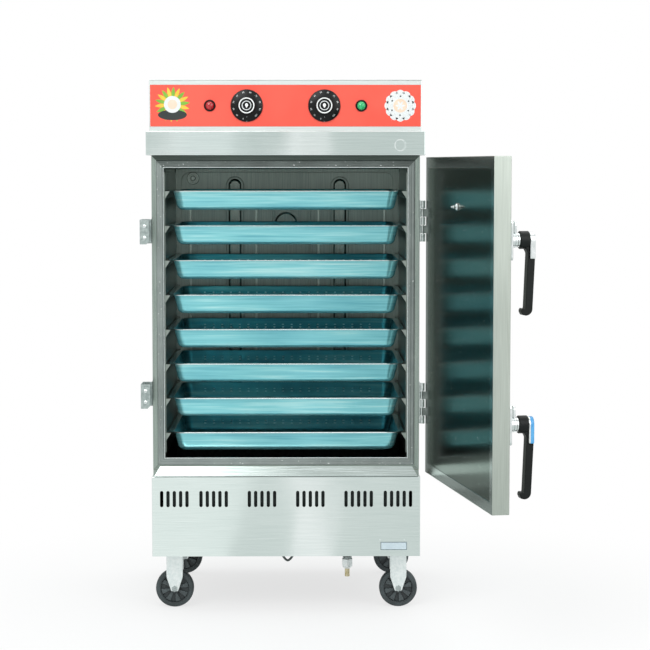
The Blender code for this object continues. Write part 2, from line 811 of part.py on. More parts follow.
def make_drain():
    # A flange under the tank, a pipe through the floor pan, and a hexagon union on its end.
    y = front_y + drain_setback
    flange_top = tank_bottom_z - seat_gap
    hex_top = skirt_clearance - drain_hex_drop
    tail = hex_top - drain_hex_height - drain_tail
    flange = turned("drain_fitting", "brass",
                    [(0, flange_top), (drain_flange_radius, flange_top),
                     (drain_flange_radius, flange_top - drain_flange_thickness),
                     (drain_pipe_radius, flange_top - drain_flange_thickness),
                     (drain_pipe_radius, tail), (0, tail)], (drain_x, y, 0), steps=16)
    fuse(flange, rod("drain_hexagon", None, drain_hex_radius, (drain_x, y, hex_top - drain_hex_height),
                     (drain_x, y, hex_top), sides=6, guide=True))


def make_lead():
    # A slack loop of cable that dips under the floor pan between two holes in it.
    top = skirt_clearance + floor_pan_sheet + floor_pan_rim / 2
    y = front_y + lead_setback
    half = lead_spread / 2
    under = skirt_clearance - cut_overrun
    path = [(lead_x - half, y, top)]
    for step in range(lead_points + 1):
        share = 2 * step / lead_points - 1
        sag = 1 - abs(share) ** lead_sag_power
        path.append((lead_x + half * share, y, under - lead_drop * sag))
    path.append((lead_x + half, y, top))
    tube("underfloor_lead", "black_plastic", path, lead_radius, (0, 0, 0))


def make_castors():
    plate_top = skirt_clearance - seat_gap
    axle_z = wheel_radius * math.cos(math.pi / wheel_sides)
    x = skirt_half - castor_side_inset
    for side, word in ((-1, "left"), (1, "right")):
        hub = (side * x, front_y + front_castor_setback, axle_z)
        castor_fork(f"front_castor_fork_{word}", hub, plate_top, castor_plate_thickness,
                    (-castor_plate_length / 2, castor_plate_length / 2), castor_plate_width, None)
        wheel_at(f"front_wheel_{word}", hub, None)
        swivel_x = side * (x - swivel_trail)
        y = back_y - rear_castor_setback
        make_swivel(word, side, (swivel_x, y, plate_top), (side * x, y, axle_z))


def make_swivel(word, side, mount, hub):
    bearing_low = mount[2] - castor_plate_thickness - swivel_bearing_height
    half_long = castor_plate_length / 2
    half_wide = castor_plate_width / 2
    plate = box(f"rear_castor_plate_{word}", "zinc",
                (mount[0] - half_long, mount[1] - half_wide, mount[2] - castor_plate_thickness),
                (mount[0] + half_long, mount[1] + half_wide, mount[2]))
    pin_low = bearing_low - swivel_running_gap - 2 * fork_sheet
    centre = (mount[0], mount[1])
    fuse(plate,
         rod("bearing_cup", None, swivel_bearing_radius, (*centre, bearing_low),
             (*centre, mount[2] - castor_plate_thickness / 2), guide=True),
         rod("king_pin", None, king_pin_radius, (*centre, pin_low),
             (*centre, bearing_low + cut_overrun), sides=16, guide=True))
    swivel = pivot(f"rear_swivel_{word}", (mount[0], mount[1], bearing_low))
    crown_top = bearing_low - swivel_running_gap
    inward = -side * (swivel_trail + swivel_bearing_radius)
    outward = side * (fork_width / 2 + crown_lap)
    fork = castor_fork(f"rear_castor_fork_{word}", hub, crown_top, fork_sheet,
                       (min(inward, outward), max(inward, outward)),
                       wheel_width + 2 * (fork_gap + fork_sheet + crown_lap), swivel)
    cut(fork, rod("king_pin_hole", None, king_pin_radius + king_pin_play,
                  (*centre, crown_top - fork_sheet - cut_overrun), (*centre, crown_top + cut_overrun),
                  swivel, sides=16, guide=True))
    wheel_at(f"rear_wheel_{word}", hub, swivel)


def castor_fork(name, hub, top, plate, ends, width, parent):
    # A top plate, two tapered legs in front of and behind the wheel, and the axle through them.
    fork = box(name, "zinc", (hub[0] + ends[0], hub[1] - width / 2, top - plate),
               (hub[0] + ends[1], hub[1] + width / 2, top), parent)
    leg_y = wheel_width / 2 + fork_gap + fork_sheet / 2
    shoulder = fork_shoulder
    half = fork_width / 2
    tip = fork_tip_width / 2
    leg_top = top - plate / 2 - hub[2]
    outline = [(-half, leg_top), (-half, shoulder), (-tip, -fork_below_axle),
               (tip, -fork_below_axle), (half, shoulder), (half, leg_top)]
    for face in (-1, 1):
        place = (hub[0], hub[1] + face * leg_y, hub[2])
        fuse(fork, prism("fork_leg", None, outline, fork_sheet, place, parent, upright, guide=True))
    reach = leg_y + fork_sheet / 2
    head = reach + axle_head_height
    fuse(fork, rod("axle", None, axle_radius, (hub[0], hub[1] - reach - axle_head_height / 2, hub[2]),
                   (hub[0], hub[1] + reach + axle_head_height / 2, hub[2]), parent, guide=True))
    for face in (-1, 1):
        near = hub[1] + face * (reach - fork_sheet / 2)
        far = hub[1] + face * head
        fuse(fork, rod("axle_nut", None, axle_head_radius, (hub[0], near, hub[2]),
                       (hub[0], far, hub[2]), parent, sides=6, guide=True))
    return fork


def wheel_at(name, hub, parent):
    # The tyre, a thinner web and the hub, turned about the axle with one flat side down.
    half = wheel_width / 2
    web = wheel_web / 2
    bore = axle_radius + axle_play
    rim = wheel_radius - wheel_rim
    crown = wheel_rim / 4
    profile = [(bore, half), (wheel_hub_radius, half), (wheel_hub_radius, web), (rim, web),
               (rim, half), (wheel_radius - crown, half), (wheel_radius, half - crown),
               (wheel_radius, crown - half), (wheel_radius - crown, -half), (rim, -half),
               (rim, -web), (wheel_hub_radius, -web), (wheel_hub_radius, -half), (bore, -half)]
    axle = pivot(f"{name}_axle", hub, parent)
    wheel = turned(name, "wheel_rubber", profile, hub, axle, to_front, steps=wheel_sides, ring=True)
    wheel.rotation_euler = (math.pi / 2, math.pi / wheel_sides, 0)
    return wheel


def make_hinge(word, centre_z, door):
    # Five knuckles: the frame leaf has the odd ones and the pin, the door leaf has the even ones.
    low = centre_z - hinge_height / 2
    step = hinge_height / hinge_knuckles
    leaf_in = body_half + seat_gap
    frame = box(f"hinge_frame_leaf_{word}", "brushed_steel",
                (leaf_in, pin_y + hinge_barrel_radius, low),
                (leaf_in + hinge_leaf_thickness, pin_y + hinge_leaf_width, low + hinge_height))
    door_in = door_right_x + seat_gap
    leaf = box(f"hinge_door_leaf_{word}", "brushed_steel",
               (door_in, pin_y - hinge_leaf_width, low),
               (door_in + hinge_leaf_thickness, pin_y - hinge_barrel_radius, low + hinge_height), door)
    for knuckle in range(hinge_knuckles):
        start = low + knuckle * step + hinge_knuckle_gap / 2
        end = low + (knuckle + 1) * step - hinge_knuckle_gap / 2
        owner, parent, side = ((leaf, door, -1), (frame, None, 1))[knuckle % 2 == 0]
        wing_in = (door_in if side < 0 else leaf_in)
        far = pin_y + side * (hinge_barrel_radius + cut_overrun)
        wing = box("knuckle_wing", None, (wing_in, min(pin_y, far), start),
                   (wing_in + hinge_leaf_thickness, max(pin_y, far), end), parent, guide=True)
        barrel = rod("knuckle", None, hinge_barrel_radius, (pin_x, pin_y, start), (pin_x, pin_y, end),
                     parent, sides=16, guide=True)
        fuse(owner, wing, barrel)
    top = low + hinge_height
    fuse(frame, rod("hinge_pin", None, hinge_pin_radius, (pin_x, pin_y, low + hinge_knuckle_gap),
                    (pin_x, pin_y, top - hinge_knuckle_gap), sides=12, guide=True))
    cut(leaf, rod("hinge_bore", None, hinge_pin_radius + hinge_bore_play,
                  (pin_x, pin_y, low - cut_overrun), (pin_x, pin_y, top + cut_overrun), door,
                  sides=12, guide=True))


def make_door(door):
    low = (door_left_x, door_face_y, door_bottom_z)
    high = (door_right_x, door_back_y, door_top_z)
    shell("door_outer_pan", "brushed_steel", low, high, door_sheet, ("back",), door)
    margin = door_sheet + seat_gap
    panel = box("door_inner_panel", "mirror_steel",
                (door_left_x + margin, door_back_y - door_sheet, door_bottom_z + margin),
                (door_right_x - margin, door_back_y, door_top_z - margin), door)
    wool = box("door_insulation", "mineral_wool",
               (door_left_x + margin, door_face_y + margin, door_bottom_z + margin),
               (door_right_x - margin, door_back_y - door_sheet - seat_gap, door_top_z - margin), door)
    x = door_right_x - valve_hinge_distance
    z = door_top_z - valve_drop
    for piece in (panel, wool):
        cut(piece, rod("valve_hole", None, valve_post_radius + valve_play,
                       (x, door_back_y - valve_stem_length - valve_play, z),
                       (x, door_back_y + cut_overrun, z), door, sides=16, guide=True))
    step = valve_base_height
    profile = [(0, valve_height), (valve_post_radius, valve_height), (valve_post_radius, step),
               (valve_base_radius, step / 2), (valve_base_radius, 0), (valve_post_radius, 0),
               (valve_post_radius, -valve_stem_length), (0, -valve_stem_length)]
    valve = turned("door_vent_valve", "chrome", profile, (x, door_back_y + seat_gap, z), door, to_back,
                   steps=16)
    wing = obround(valve_wing_span, valve_wing_height)
    wing_y = door_back_y + seat_gap + valve_height - valve_wing_height / 2
    fuse(valve, prism("valve_wing", None, [(-y, x) for x, y in wing], valve_wing_thickness,
                      (x, wing_y, z), door, (0, 0, 0), guide=True))


def make_handle(word, centre_z, door):
    x = door_left_x + handle_edge_distance
    plate_back = door_face_y - seat_gap
    plate_front = plate_back - handle_plate_thickness
    base = prism(f"handle_base_{word}", "brushed_steel",
                 rounded_rectangle(handle_plate_width, handle_plate_height, handle_plate_round),
                 handle_plate_thickness, (x, (plate_back + plate_front) / 2, centre_z), door, upright)
    cut(base, rod("stub_hole", None, stub_radius + stub_play, (x, plate_front - cut_overrun, centre_z),
                  (x, plate_back + cut_overrun, centre_z), door, sides=16, guide=True))
    start = plate_front - seat_gap
    axis = pivot(f"handle_axis_{word}", (x, start, centre_z), door)
    spindle_end = start - spindle_length
    hub_back = spindle_end - seat_gap
    hub_front = hub_back - hub_length
    cap_back = hub_front - seat_gap
    cap_front = cap_back - cap_thickness
    reach = tongue_length - tongue_width / 2
    outline = arc((0, reach), tongue_width / 2, 0, 180, 6) + [(-tongue_width / 2, 0), (tongue_width / 2, 0)]
    spindle = rod(f"handle_spindle_{word}", "chrome", spindle_radius, (x, start, centre_z),
                  (x, spindle_end, centre_z), axis, sides=24)
    fuse(spindle,
         prism("tongue", None, outline, tongue_thickness,
               (x, start - tongue_standoff - tongue_thickness / 2, centre_z), axis, upright, guide=True),
         rod("stub", None, stub_radius, (x, start - cut_overrun, centre_z),
             (x, plate_back - seat_gap, centre_z), axis, sides=16, guide=True),
         rod("core", None, spindle_core_radius, (x, spindle_end + cut_overrun, centre_z),
             (x, cap_back - cap_thickness / 2, centre_z), axis, sides=16, guide=True),
         prism("cap", None, cap_outline(), cap_thickness,
               (x, (cap_back + cap_front) / 2, centre_z), axis, upright, guide=True))
    grip = rod(f"handle_grip_{word}", "black_plastic", hub_radius, (x, hub_back, centre_z),
               (x, hub_front, centre_z), axis, sides=24)
    side = prism("grip_side", None, grip_outline(hub_front - start, cap_front - start), grip_width,
                 (x, start, centre_z), axis, (math.pi / 2, 0, -math.pi / 2), guide=True)
    fuse(grip, side)
    cut(grip, rod("core_hole", None, spindle_core_radius + stub_play, (x, hub_back + cut_overrun, centre_z),
                  (x, hub_front - cut_overrun, centre_z), axis, sides=16, guide=True))


def cap_outline():
    # Round over the hub, then straight sides down to a square foot.
    half = cap_width / 2
    return arc((0, 0), half, 0, 180, 8) + [(-half, -cap_drop), (half, -cap_drop)]


def grip_outline(hub_front, cap_front):
    # The grip seen from the side: out from the door along X, up along Y, its toe bent to the door.
    outer = -cap_front
    inner = outer - grip_thickness
    neck_foot = -hub_radius - grip_neck_drop
    heel = (outer - grip_lean - grip_heel_radius, grip_heel_radius - grip_length)
    toe = inner - grip_lean - grip_toe_reach
    shape = [(-hub_front, 0), (inner - grip_neck_reach, 0), (inner - grip_neck_reach, -hub_radius),
             (inner, neck_foot), (inner - grip_lean, grip_heel_radius - grip_length),
             (toe + grip_toe_depth / 4, grip_heel_radius - grip_length + grip_toe_depth / 4),
             (toe, grip_toe_depth - grip_length),
             (toe + grip_toe_depth / 2, grip_toe_depth / 4 - grip_length)]
    shape += arc(heel, grip_heel_radius, 270, 360, 5)
    return shape + [(outer, -cap_drop - seat_gap), (-hub_front, -cap_drop - seat_gap)]


def make_keeper(word, centre_z):
    # A bracket on the left side that wraps to the front of the closed tongue, drilled for two screws.
    side_x = -body_half - seat_gap
    tongue_back = door_face_y - seat_gap - handle_plate_thickness - seat_gap - tongue_standoff
    plate_back = tongue_back - tongue_thickness - keeper_bite_gap
    inner_x = side_x - keeper_reach + keeper_sheet
    web_y = front_y - keeper_side_gap
    path = [(side_x, front_y + keeper_tail), (side_x, web_y), (inner_x, web_y),
            (inner_x, plate_back), (side_x - keeper_side_gap, plate_back)]
    place = (side_x, plate_back, centre_z)
    relative = [(x - place[0], y - place[1]) for x, y in path]
    bracket = folded_sheet(f"keeper_{word}", "zinc", relative, keeper_height, keeper_sheet, place)
    middle = side_x - (keeper_reach + keeper_side_gap) / 2
    for side in (-1, 1):
        z = centre_z + side * keeper_screw_spread / 2
        cut(bracket, rod("screw_hole", None, keeper_screw_radius, (middle, plate_back - cut_overrun, z),
                         (middle, plate_back + cut_overrun, z), sides=12, guide=True))


def centre_on_floor():
    # Puts the origin on the floor, under the middle of the whole object's box.
    bpy.context.view_layer.update()
    graph = bpy.context.evaluated_depsgraph_get()
    corners = []
    for piece in parts.objects:
        if piece.type == "MESH":
            solid = piece.evaluated_get(graph)
            corners += [solid.matrix_world @ vertex.co for vertex in solid.data.vertices]
    low = Vector([min(corner[axis] for corner in corners) for axis in range(3)])
    high = Vector([max(corner[axis] for corner in corners) for axis in range(3)])
    middle = (low + high) / 2
    root.location -= Vector((middle.x, middle.y, low.z))


clear_scene()
root = bpy.data.objects.new("cabinet_origin", None)
parts.objects.link(root)
pivot_places[root.name] = Vector()
door_pin = pivot("door_pin", (pin_x, pin_y, door_bottom_z))
make_base()
make_body()
make_runners()
make_trays()
make_header()
make_heater()
make_drain()
make_lead()
make_castors()
make_door(door_pin)
for hinge_word, hinge_z in (("upper", header_bottom_z - door_head_gap - hinge_upper_drop),
                            ("lower", door_bottom_z + hinge_lower_rise)):
    make_hinge(hinge_word, hinge_z, door_pin)
for handle_word, handle_z in (("upper", door_top_z - handle_upper_drop),
                              ("lower", door_bottom_z + handle_lower_rise)):
    make_handle(handle_word, handle_z, door_pin)
    make_keeper(handle_word, handle_z)
door_pin.rotation_euler.z = math.radians(door_open_angle)
centre_on_floor()
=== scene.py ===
# Rice steamer cabinet, dressed: sheet steel, trays, door, handles, castors and control panel
import json
import math

import bmesh
import bpy
from mathutils import Matrix, Vector


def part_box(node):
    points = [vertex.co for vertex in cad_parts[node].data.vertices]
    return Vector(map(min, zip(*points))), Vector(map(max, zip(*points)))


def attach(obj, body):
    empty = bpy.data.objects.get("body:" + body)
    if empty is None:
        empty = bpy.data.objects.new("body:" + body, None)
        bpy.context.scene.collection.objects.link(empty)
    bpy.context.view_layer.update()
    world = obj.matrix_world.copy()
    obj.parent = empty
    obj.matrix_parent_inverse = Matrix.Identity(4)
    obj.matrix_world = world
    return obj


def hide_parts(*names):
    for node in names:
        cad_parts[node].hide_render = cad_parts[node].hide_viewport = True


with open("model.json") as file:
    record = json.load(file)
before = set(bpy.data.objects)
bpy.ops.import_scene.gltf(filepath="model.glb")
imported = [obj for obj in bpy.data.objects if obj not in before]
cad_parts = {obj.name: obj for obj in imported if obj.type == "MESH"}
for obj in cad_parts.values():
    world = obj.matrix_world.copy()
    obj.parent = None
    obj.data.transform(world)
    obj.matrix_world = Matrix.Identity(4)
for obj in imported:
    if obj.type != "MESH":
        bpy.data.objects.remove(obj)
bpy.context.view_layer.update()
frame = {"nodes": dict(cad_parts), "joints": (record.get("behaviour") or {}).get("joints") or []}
mm = 0.001
degree = math.pi / 180

# Every piece is drawn in millimetres in the front frame: x from the middle of the cabinet, y back from its
# front face, z from the floor. Its place turns that to metres in the world.
jambLow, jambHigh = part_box("door_jamb")
home = Vector(((jambLow.x + jambHigh.x) / 2, jambLow.y, 0))
cabinetPlace = Matrix.Translation(home) @ Matrix.Scale(mm, 4)
swing = next(joint for joint in frame["joints"] if joint["name"] == "door_swing")
hingePin = Vector(swing["pos_m"])
openAngle = -swing["range_deg"][0] * degree
doorTurn = Matrix.Translation(hingePin) @ Matrix.Rotation(openAngle, 4, "Z") @ Matrix.Translation(-hingePin)
doorPlace = doorTurn @ cabinetPlace     # a door piece is drawn as if the door were closed


def boxIn(node, place=cabinetPlace):
    back = place.inverted()
    corners = [back @ vertex.co for vertex in frame["nodes"][node].data.vertices]
    low = Vector([min(corner[axis] for corner in corners) for axis in range(3)])
    high = Vector([max(corner[axis] for corner in corners) for axis in range(3)])
    return low, high


# Camera at the photograph's angle
view = {"side": 50 * mm, "back": 5168.8 * mm, "height": 1129.4 * mm, "pitch": 85.612, "yaw": -0.537,
        "lens": 113.94, "sensor": 36, "far": 60}


def makeCamera():
    lens = bpy.data.cameras.new("camera")
    lens.lens = view["lens"]
    lens.sensor_width = view["sensor"]
    lens.clip_end = view["far"]
    camera = bpy.data.objects.new("camera", lens)
    camera.location = home + Vector((view["side"], -view["back"], view["height"]))
    camera.rotation_euler = (view["pitch"] * degree, 0, view["yaw"] * degree)
    bpy.context.scene.collection.objects.link(camera)
    bpy.context.scene.camera = camera


# Node and colour helpers
def tint(code):
    # sRGB hex to linear
    values = [int(code[i:i + 2], 16) / 255 for i in (1, 3, 5)]
    linear = [v / 12.92 if v <= 0.04045 else ((v + 0.055) / 1.055) ** 2.4 for v in values]
    return (*linear, 1.0)


def join(tree, node, inputs):
    # each input gets a value, a socket, or a node's first output
    for key, value in inputs.items():
        if isinstance(value, bpy.types.Node):
            value = value.outputs[0]
        if isinstance(value, bpy.types.NodeSocket):
            tree.links.new(value, node.inputs[key])
        else:
            node.inputs[key].default_value = value


def addNode(tree, kind, inputs=None, stops=(), **settings):
    node = tree.nodes.new(kind)
    for name, value in settings.items():
        setattr(node, name, value)
    join(tree, node, inputs or {})
    if stops:
        marks = node.color_ramp.elements
        while len(marks) < len(stops):
            marks.new(0.5)
        for mark, (where, code) in zip(marks, stops):
            mark.position = where
            mark.color = tint(code)
    return node


def surface(name, **values):
    # a Principled material with its constant values set on the shader's own sockets
    made = bpy.data.materials.new(name)
    made.use_nodes = True
    shader = made.node_tree.nodes["Principled BSDF"]
    join(made.node_tree, shader, {key.replace("_", " "): value for key, value in values.items()})
    return made, made.node_tree, shader


def noise(tree, size, detail=2.0, stretch=(1, 1, 1)):
    # on Object coordinates, its grain size metres, drawn out by stretch
    place = addNode(tree, "ShaderNodeTexCoord")
    scale = tuple(1 / (size * s) for s in stretch)
    turn = addNode(tree, "ShaderNodeMapping", {"Vector": place.outputs["Object"], "Scale": scale})
    return addNode(tree, "ShaderNodeTexNoise", {"Vector": turn, "Scale": 1.0, "Detail": detail})


def makeFinish(name, grains, stops, rough=None, bumps=(), share=0, dust=None, **values):
    # grains are noises as (size, detail, stretch); the colour runs through its stops over the first, or over
    # its mix with that share of the second; rough is (grain, low, high), a bump (grain, depth), dust (size,
    # low, high)
    made, tree, shader = surface(name, **values)
    fields = [noise(tree, *grain) for grain in grains]
    mixed = addNode(tree, "ShaderNodeMix", {0: share, 2: fields[0], 3: fields[1]}) if share else fields[0]
    colour = addNode(tree, "ShaderNodeValToRGB", {"Fac": mixed}, stops)
    if dust:
        size, low, high = dust
        specks = {"Value": noise(tree, size, 0.0), "From Min": low, "From Max": high}
        specks = addNode(tree, "ShaderNodeMapRange", specks)
        dusty = addNode(tree, "ShaderNodeMix", {0: specks, 6: colour, 7: tint("#e3e8e6")}, data_type="RGBA")
        colour = dusty.outputs[2]
    join(tree, shader, {"Base Color": colour})
    if rough:
        grain, low, high = rough
        spread = addNode(tree, "ShaderNodeMapRange", {"Value": fields[grain], "To Min": low, "To Max": high})
        join(tree, shader, {"Roughness": spread})
    under = {}
    for grain, depth in bumps:
        relief = {"Height": fields[grain], "Distance": depth, "Strength": 1.0}
        under = {"Normal": addNode(tree, "ShaderNodeBump", {**relief, **under})}
    join(tree, shader, under)
    return made


# Materials
brushed = {"grain": 0.9 * mm, "run": 110, "wave": 190 * mm, "waveDepth": 1.0 * mm, "scratch": 0.02 * mm,
           "waveShare": 0.3}


def brushedSteel(name, run, light="#ccd5d2", dark="#b6c0bd", rough=(0.26, 0.40), depth=brushed["waveDepth"]):
    # 304 stainless, rolled and belt-brushed: satin streaks along the run, the sheet slightly wavy; the 0.1 mm
    # scratches are drawn about 1 mm wide so that they show
    stretch = tuple(brushed["run"] if axis == run else 1 for axis in "xyz")
    grains = [(brushed["grain"], 3.0, stretch), (brushed["wave"], 1.0, (1, 1, 1.3))]
    return makeFinish(name, grains, [(0.34, dark), (0.64, light)], (0, *rough),
                      [(1, depth), (0, brushed["scratch"])], brushed["waveShare"], Metallic=1.0)


mirrorDustAndShade = {"shadedBelow": 330 * mm, "unshadedAbove": 520 * mm, "haze": 420 * mm, "dust": 3.6 * mm,
               "paintedShade": [(0.3, "#363b35"), (0.7, "#42473f")], "unshaded": [(0.3, "#606b65"), (0.7, "#6b766f")]}


def mirrorSteel():
    # 304 stainless, bright annealed: almost a mirror, olive from dried steam, darker towards the foot as a
    # painted shade, with specks of dust
    made, tree, shader = surface("mirrorStainlessSteel", Metallic=1.0, Specular_Tint=tint("#ced0cf"))
    haze = noise(tree, mirrorDustAndShade["haze"], 1.0, (1, 1, 1.5))
    dust = noise(tree, mirrorDustAndShade["dust"], 0.0)
    specks = addNode(tree, "ShaderNodeMapRange", {"Value": dust, "From Min": 0.83, "From Max": 0.88})
    place = addNode(tree, "ShaderNodeTexCoord")
    height = addNode(tree, "ShaderNodeSeparateXYZ", {0: place.outputs["Object"]}).outputs["Z"]
    # the colour runs from the painted shade at the foot to the unshaded steel above
    clear = addNode(tree, "ShaderNodeMapRange", {"Value": height, "From Min": mirrorDustAndShade["shadedBelow"],
                                                 "From Max": mirrorDustAndShade["unshadedAbove"]})
    paintedShade, unshaded = [addNode(tree, "ShaderNodeValToRGB", {"Fac": haze}, mirrorDustAndShade[key])
                      for key in ("paintedShade", "unshaded")]
    colour = addNode(tree, "ShaderNodeMix", {0: clear, 6: paintedShade, 7: unshaded}, data_type="RGBA").outputs[2]
    dusty = addNode(tree, "ShaderNodeMix", {0: specks, 6: colour, 7: tint("#dfe6e4")}, data_type="RGBA")
    fogged = addNode(tree, "ShaderNodeMapRange", {"Value": specks, "To Min": 0.17, "To Max": 0.6})
    relief = addNode(tree, "ShaderNodeBump", {"Height": haze, "Distance": 0.03 * mm, "Strength": 1.0})
    join(tree, shader, {"Base Color": dusty.outputs[2], "Roughness": fogged, "Normal": relief})
    return made


def zincSteel(name="zincPlatedSteel", light="#eef4f3", dark="#dfe8e7"):
    # pressed steel, bright zinc plated: pale, faintly mottled
    return makeFinish(name, [(7 * mm, 3.0)], [(0.35, dark), (0.65, light)], (0, 0.28, 0.44),
                      [(0, 0.02 * mm)], Metallic=0.9)


def galvanisedSteel():
    # hot-dip galvanised sheet: grey flakes about 10 mm wide
    made, tree, shader = surface("galvanisedSteel", Metallic=0.85)
    place = addNode(tree, "ShaderNodeTexCoord")
    cells = {"Vector": place.outputs["Object"], "Scale": 1 / (10 * mm)}
    flakes = addNode(tree, "ShaderNodeTexVoronoi", cells)
    tone = addNode(tree, "ShaderNodeSeparateColor", {0: flakes.outputs["Color"]})
    colour = addNode(tree, "ShaderNodeValToRGB", {"Fac": tone}, [(0.0, "#8b9493"), (1.0, "#b4bdbb")])
    rough = addNode(tree, "ShaderNodeMapRange", {"Value": tone, "To Min": 0.38, "To Max": 0.56})
    join(tree, shader, {"Base Color": colour, "Roughness": rough})
    return made


def castMetal(name, light, dark, rough, metallic=1.0):
    # plated or cast small parts: smooth, with slight handling marks
    return makeFinish(name, [(9 * mm, 4.0)], [(0.35, dark), (0.65, light)], (0, *rough), [(0, 0.03 * mm)],
                      Metallic=metallic)


def plastic(name, light, dark, rough, grain=0.9 * mm, depth=0.02 * mm, ior=1.53, **values):
    # injection moulded: an even colour with a fine spark-eroded grain
    return makeFinish(name, [(40 * mm, 2.0), (grain, 2.0)], [(0.3, dark), (0.7, light)], (1, *rough),
                      [(1, depth)], IOR=ior, **values)


def siliconeSeal(name, light, dark):
    # extruded silicone: soft grey, dull, with pale dust specks
    return makeFinish(name, [(55 * mm, 3.0)], [(0.3, dark), (0.7, light)], (0, 0.42, 0.58),
                      dust=(4 * mm, 0.80, 0.84), IOR=1.41)


def tintedLens(name, light, dark):
    # moulded acrylic lens, coloured through, with a faceted inside that catches light in cells
    made, tree, shader = surface(name, IOR=1.49, Coat_Weight=0.6, Coat_Roughness=0.08,
                                 Transmission_Weight=0.15, Emission_Strength=0.12)
    place = addNode(tree, "ShaderNodeTexCoord")
    facets = {"Vector": place.outputs["Object"], "Scale": 1 / (2.6 * mm)}
    cells = addNode(tree, "ShaderNodeTexVoronoi", facets)
    colour = addNode(tree, "ShaderNodeValToRGB", {"Fac": cells}, [(0.1, light), (0.7, dark)])
    rough = addNode(tree, "ShaderNodeMapRange", {"Value": cells, "To Min": 0.12, "To Max": 0.3})
    join(tree, shader, {"Base Color": colour, "Roughness": rough, "Emission Color": colour})
    return made


steelUp = brushedSteel("brushedSteelUpright", "z")
steelAcross = brushedSteel("brushedSteelAcross", "x")
# the fronts of the header, skirt and control box take lighter copies of the steel than their sides: painted
# sheen
headerSteel = brushedSteel("headerSteel", "x", "#e9f0ee", "#dbe4e2", (0.04, 0.08), 1.6 * mm)
skirtSteel = brushedSteel("skirtSteel", "x", "#e9f0ee", "#dbe4e2", (0.07, 0.13), 2.2 * mm)
ledgeSteel = brushedSteel("ledgeSteel", "x", "#c4cfcc", "#9eaaa6", (0.14, 0.24))
housingSteel = brushedSteel("housingSteel", "x", "#edf3f1", "#e1e8e6", (0.24, 0.36))
frameUp = brushedSteel("frameSteelUpright", "z", "#a9b5ae", "#929e97", (0.2, 0.32))
frameAcross = brushedSteel("frameSteelAcross", "x", "#9ba69f", "#828d86", (0.2, 0.32))
# a darker copy of the frame steel for the frame's head: painted shade under the header's overhang
frameTop = brushedSteel("frameSteelShaded", "x", "#5c6560", "#454e49", (0.18, 0.3))
# darker than the casing's steel: painted shade inside the deep chamber
chamberSteel = brushedSteel("chamberSteel", "z", "#a7b0a9", "#848e88", (0.24, 0.38))
# darker again than the chamber's steel: a painted dark reflection on the stub pipes and steam fitting
pipeSteel = brushedSteel("pipeSteel", "z", "#9da69f", "#727b75", (0.16, 0.28))
# a lighter copy of the chamber steel for four of the ribs: painted highlights
ribHighlightSteel = brushedSteel("ribHighlightSteel", "z", "#d8dfd6", "#bfc7be", (0.22, 0.34))
doorSteel = brushedSteel("doorSteel", "z", "#b9c1b9", "#a7afa7", (0.3, 0.44))
mirrorEdge = brushedSteel("borderStripSteel", "z", "#59625c", "#4a534d", (0.16, 0.26))
mirror = mirrorSteel()
# stainless under a thin turquoise polyethylene film: the steel's own shine tinted by it, with pale
# horizontal streaks that are a painted reflection, and a few creases
filmed = makeFinish("filmedStainlessSteel", [(150 * mm, 2.0, (2.4, 1, 1)), (5 * mm, 3.0, (34, 34, 1)),
                                             (20 * mm, 4.0, (3.0, 3.0, 1))],
                    [(0.34, "#66b6c4"), (0.52, "#8bd6dd"), (0.68, "#c2f2f2")], (1, 0.12, 0.30),
                    [(0, 0.7 * mm), (2, 0.035 * mm)], 0.5, Metallic=0.6, Coat_Weight=0.45, Coat_Roughness=0.1)
# pale dots on the trays' rear walls: painted glints of light
paleDotGlint = plastic("paintedGlintPale", "#e6fbff", "#cdeff5", (0.3, 0.45))
# bright bare steel where the trays' film is cut, at rims and hole lips; on the door frame's lip, a painted
# highlight
cutEdgeAndHighlight = castMetal("brightCutSteelAndHighlight", "#eef3f2", "#dfe7e6", (0.18, 0.3))
zinc = zincSteel()
greyZinc = zincSteel("zincPlatedNuts", "#b9c2c1", "#99a3a2")
yellowZinc = zincSteel("yellowPassivatedZinc", "#dcb552", "#b98f37")
keeperZinc = zincSteel("zincPlatedKeeper", "#b9c3c1", "#99a5a3")
galvanised = galvanisedSteel()
chrome = castMetal("chromedCasting", "#e6ebeb", "#d6dddc", (0.06, 0.16))
hingeSteel = castMetal("pressedHingeSteel", "#cfd7d5", "#a9b3b1", (0.07, 0.16))
# black steel for the drain's locknut; on the floor pan and water tank, painted shade seen through the skirt's
# vents
darkSteelAndShade = castMetal("blackenedSteelAndPaintedShade", "#39413f", "#262c2b", (0.42, 0.6), 0.7)
nickelBrass = castMetal("nickelWashedBrass", "#d9d2b4", "#b9ae86", (0.2, 0.36))
plateBorder = castMetal("anodisedPlateGrey", "#74848a", "#5f6f76", (0.3, 0.42), 0.7)
plateField = plastic("polyesterLabelPale", "#cfdfe6", "#c3d4dc", (0.32, 0.4), 4 * mm)
dialSilver = castMetal("foilStampedSilver", "#fdffff", "#f1f5f4", (0.3, 0.42), 0.4)
blackGrip = plastic("mouldedNylonBlack", "#0c1312", "#070b0a", (0.34, 0.5), Specular_IOR_Level=0.22)
blackKnob = plastic("mouldedPhenolicBlack", "#0d1112", "#060808", (0.24, 0.36), Specular_IOR_Level=0.22)
greyWheel = plastic("castPolyamideGrey", "#4b5557", "#3a4345", (0.42, 0.62), 2.2 * mm, 0.12 * mm)
darkWheel = plastic("castPolyamideDark", "#353e40", "#272f31", (0.45, 0.65), 2.2 * mm, 0.12 * mm)
tyreRubber = plastic("mouldedRubberGrey", "#414b4d", "#2f3839", (0.55, 0.78), 2.5 * mm, 0.2 * mm, 1.52)
cableSheath = plastic("extrudedPvcGrey", "#6f7a78", "#4f5a58", (0.4, 0.55))
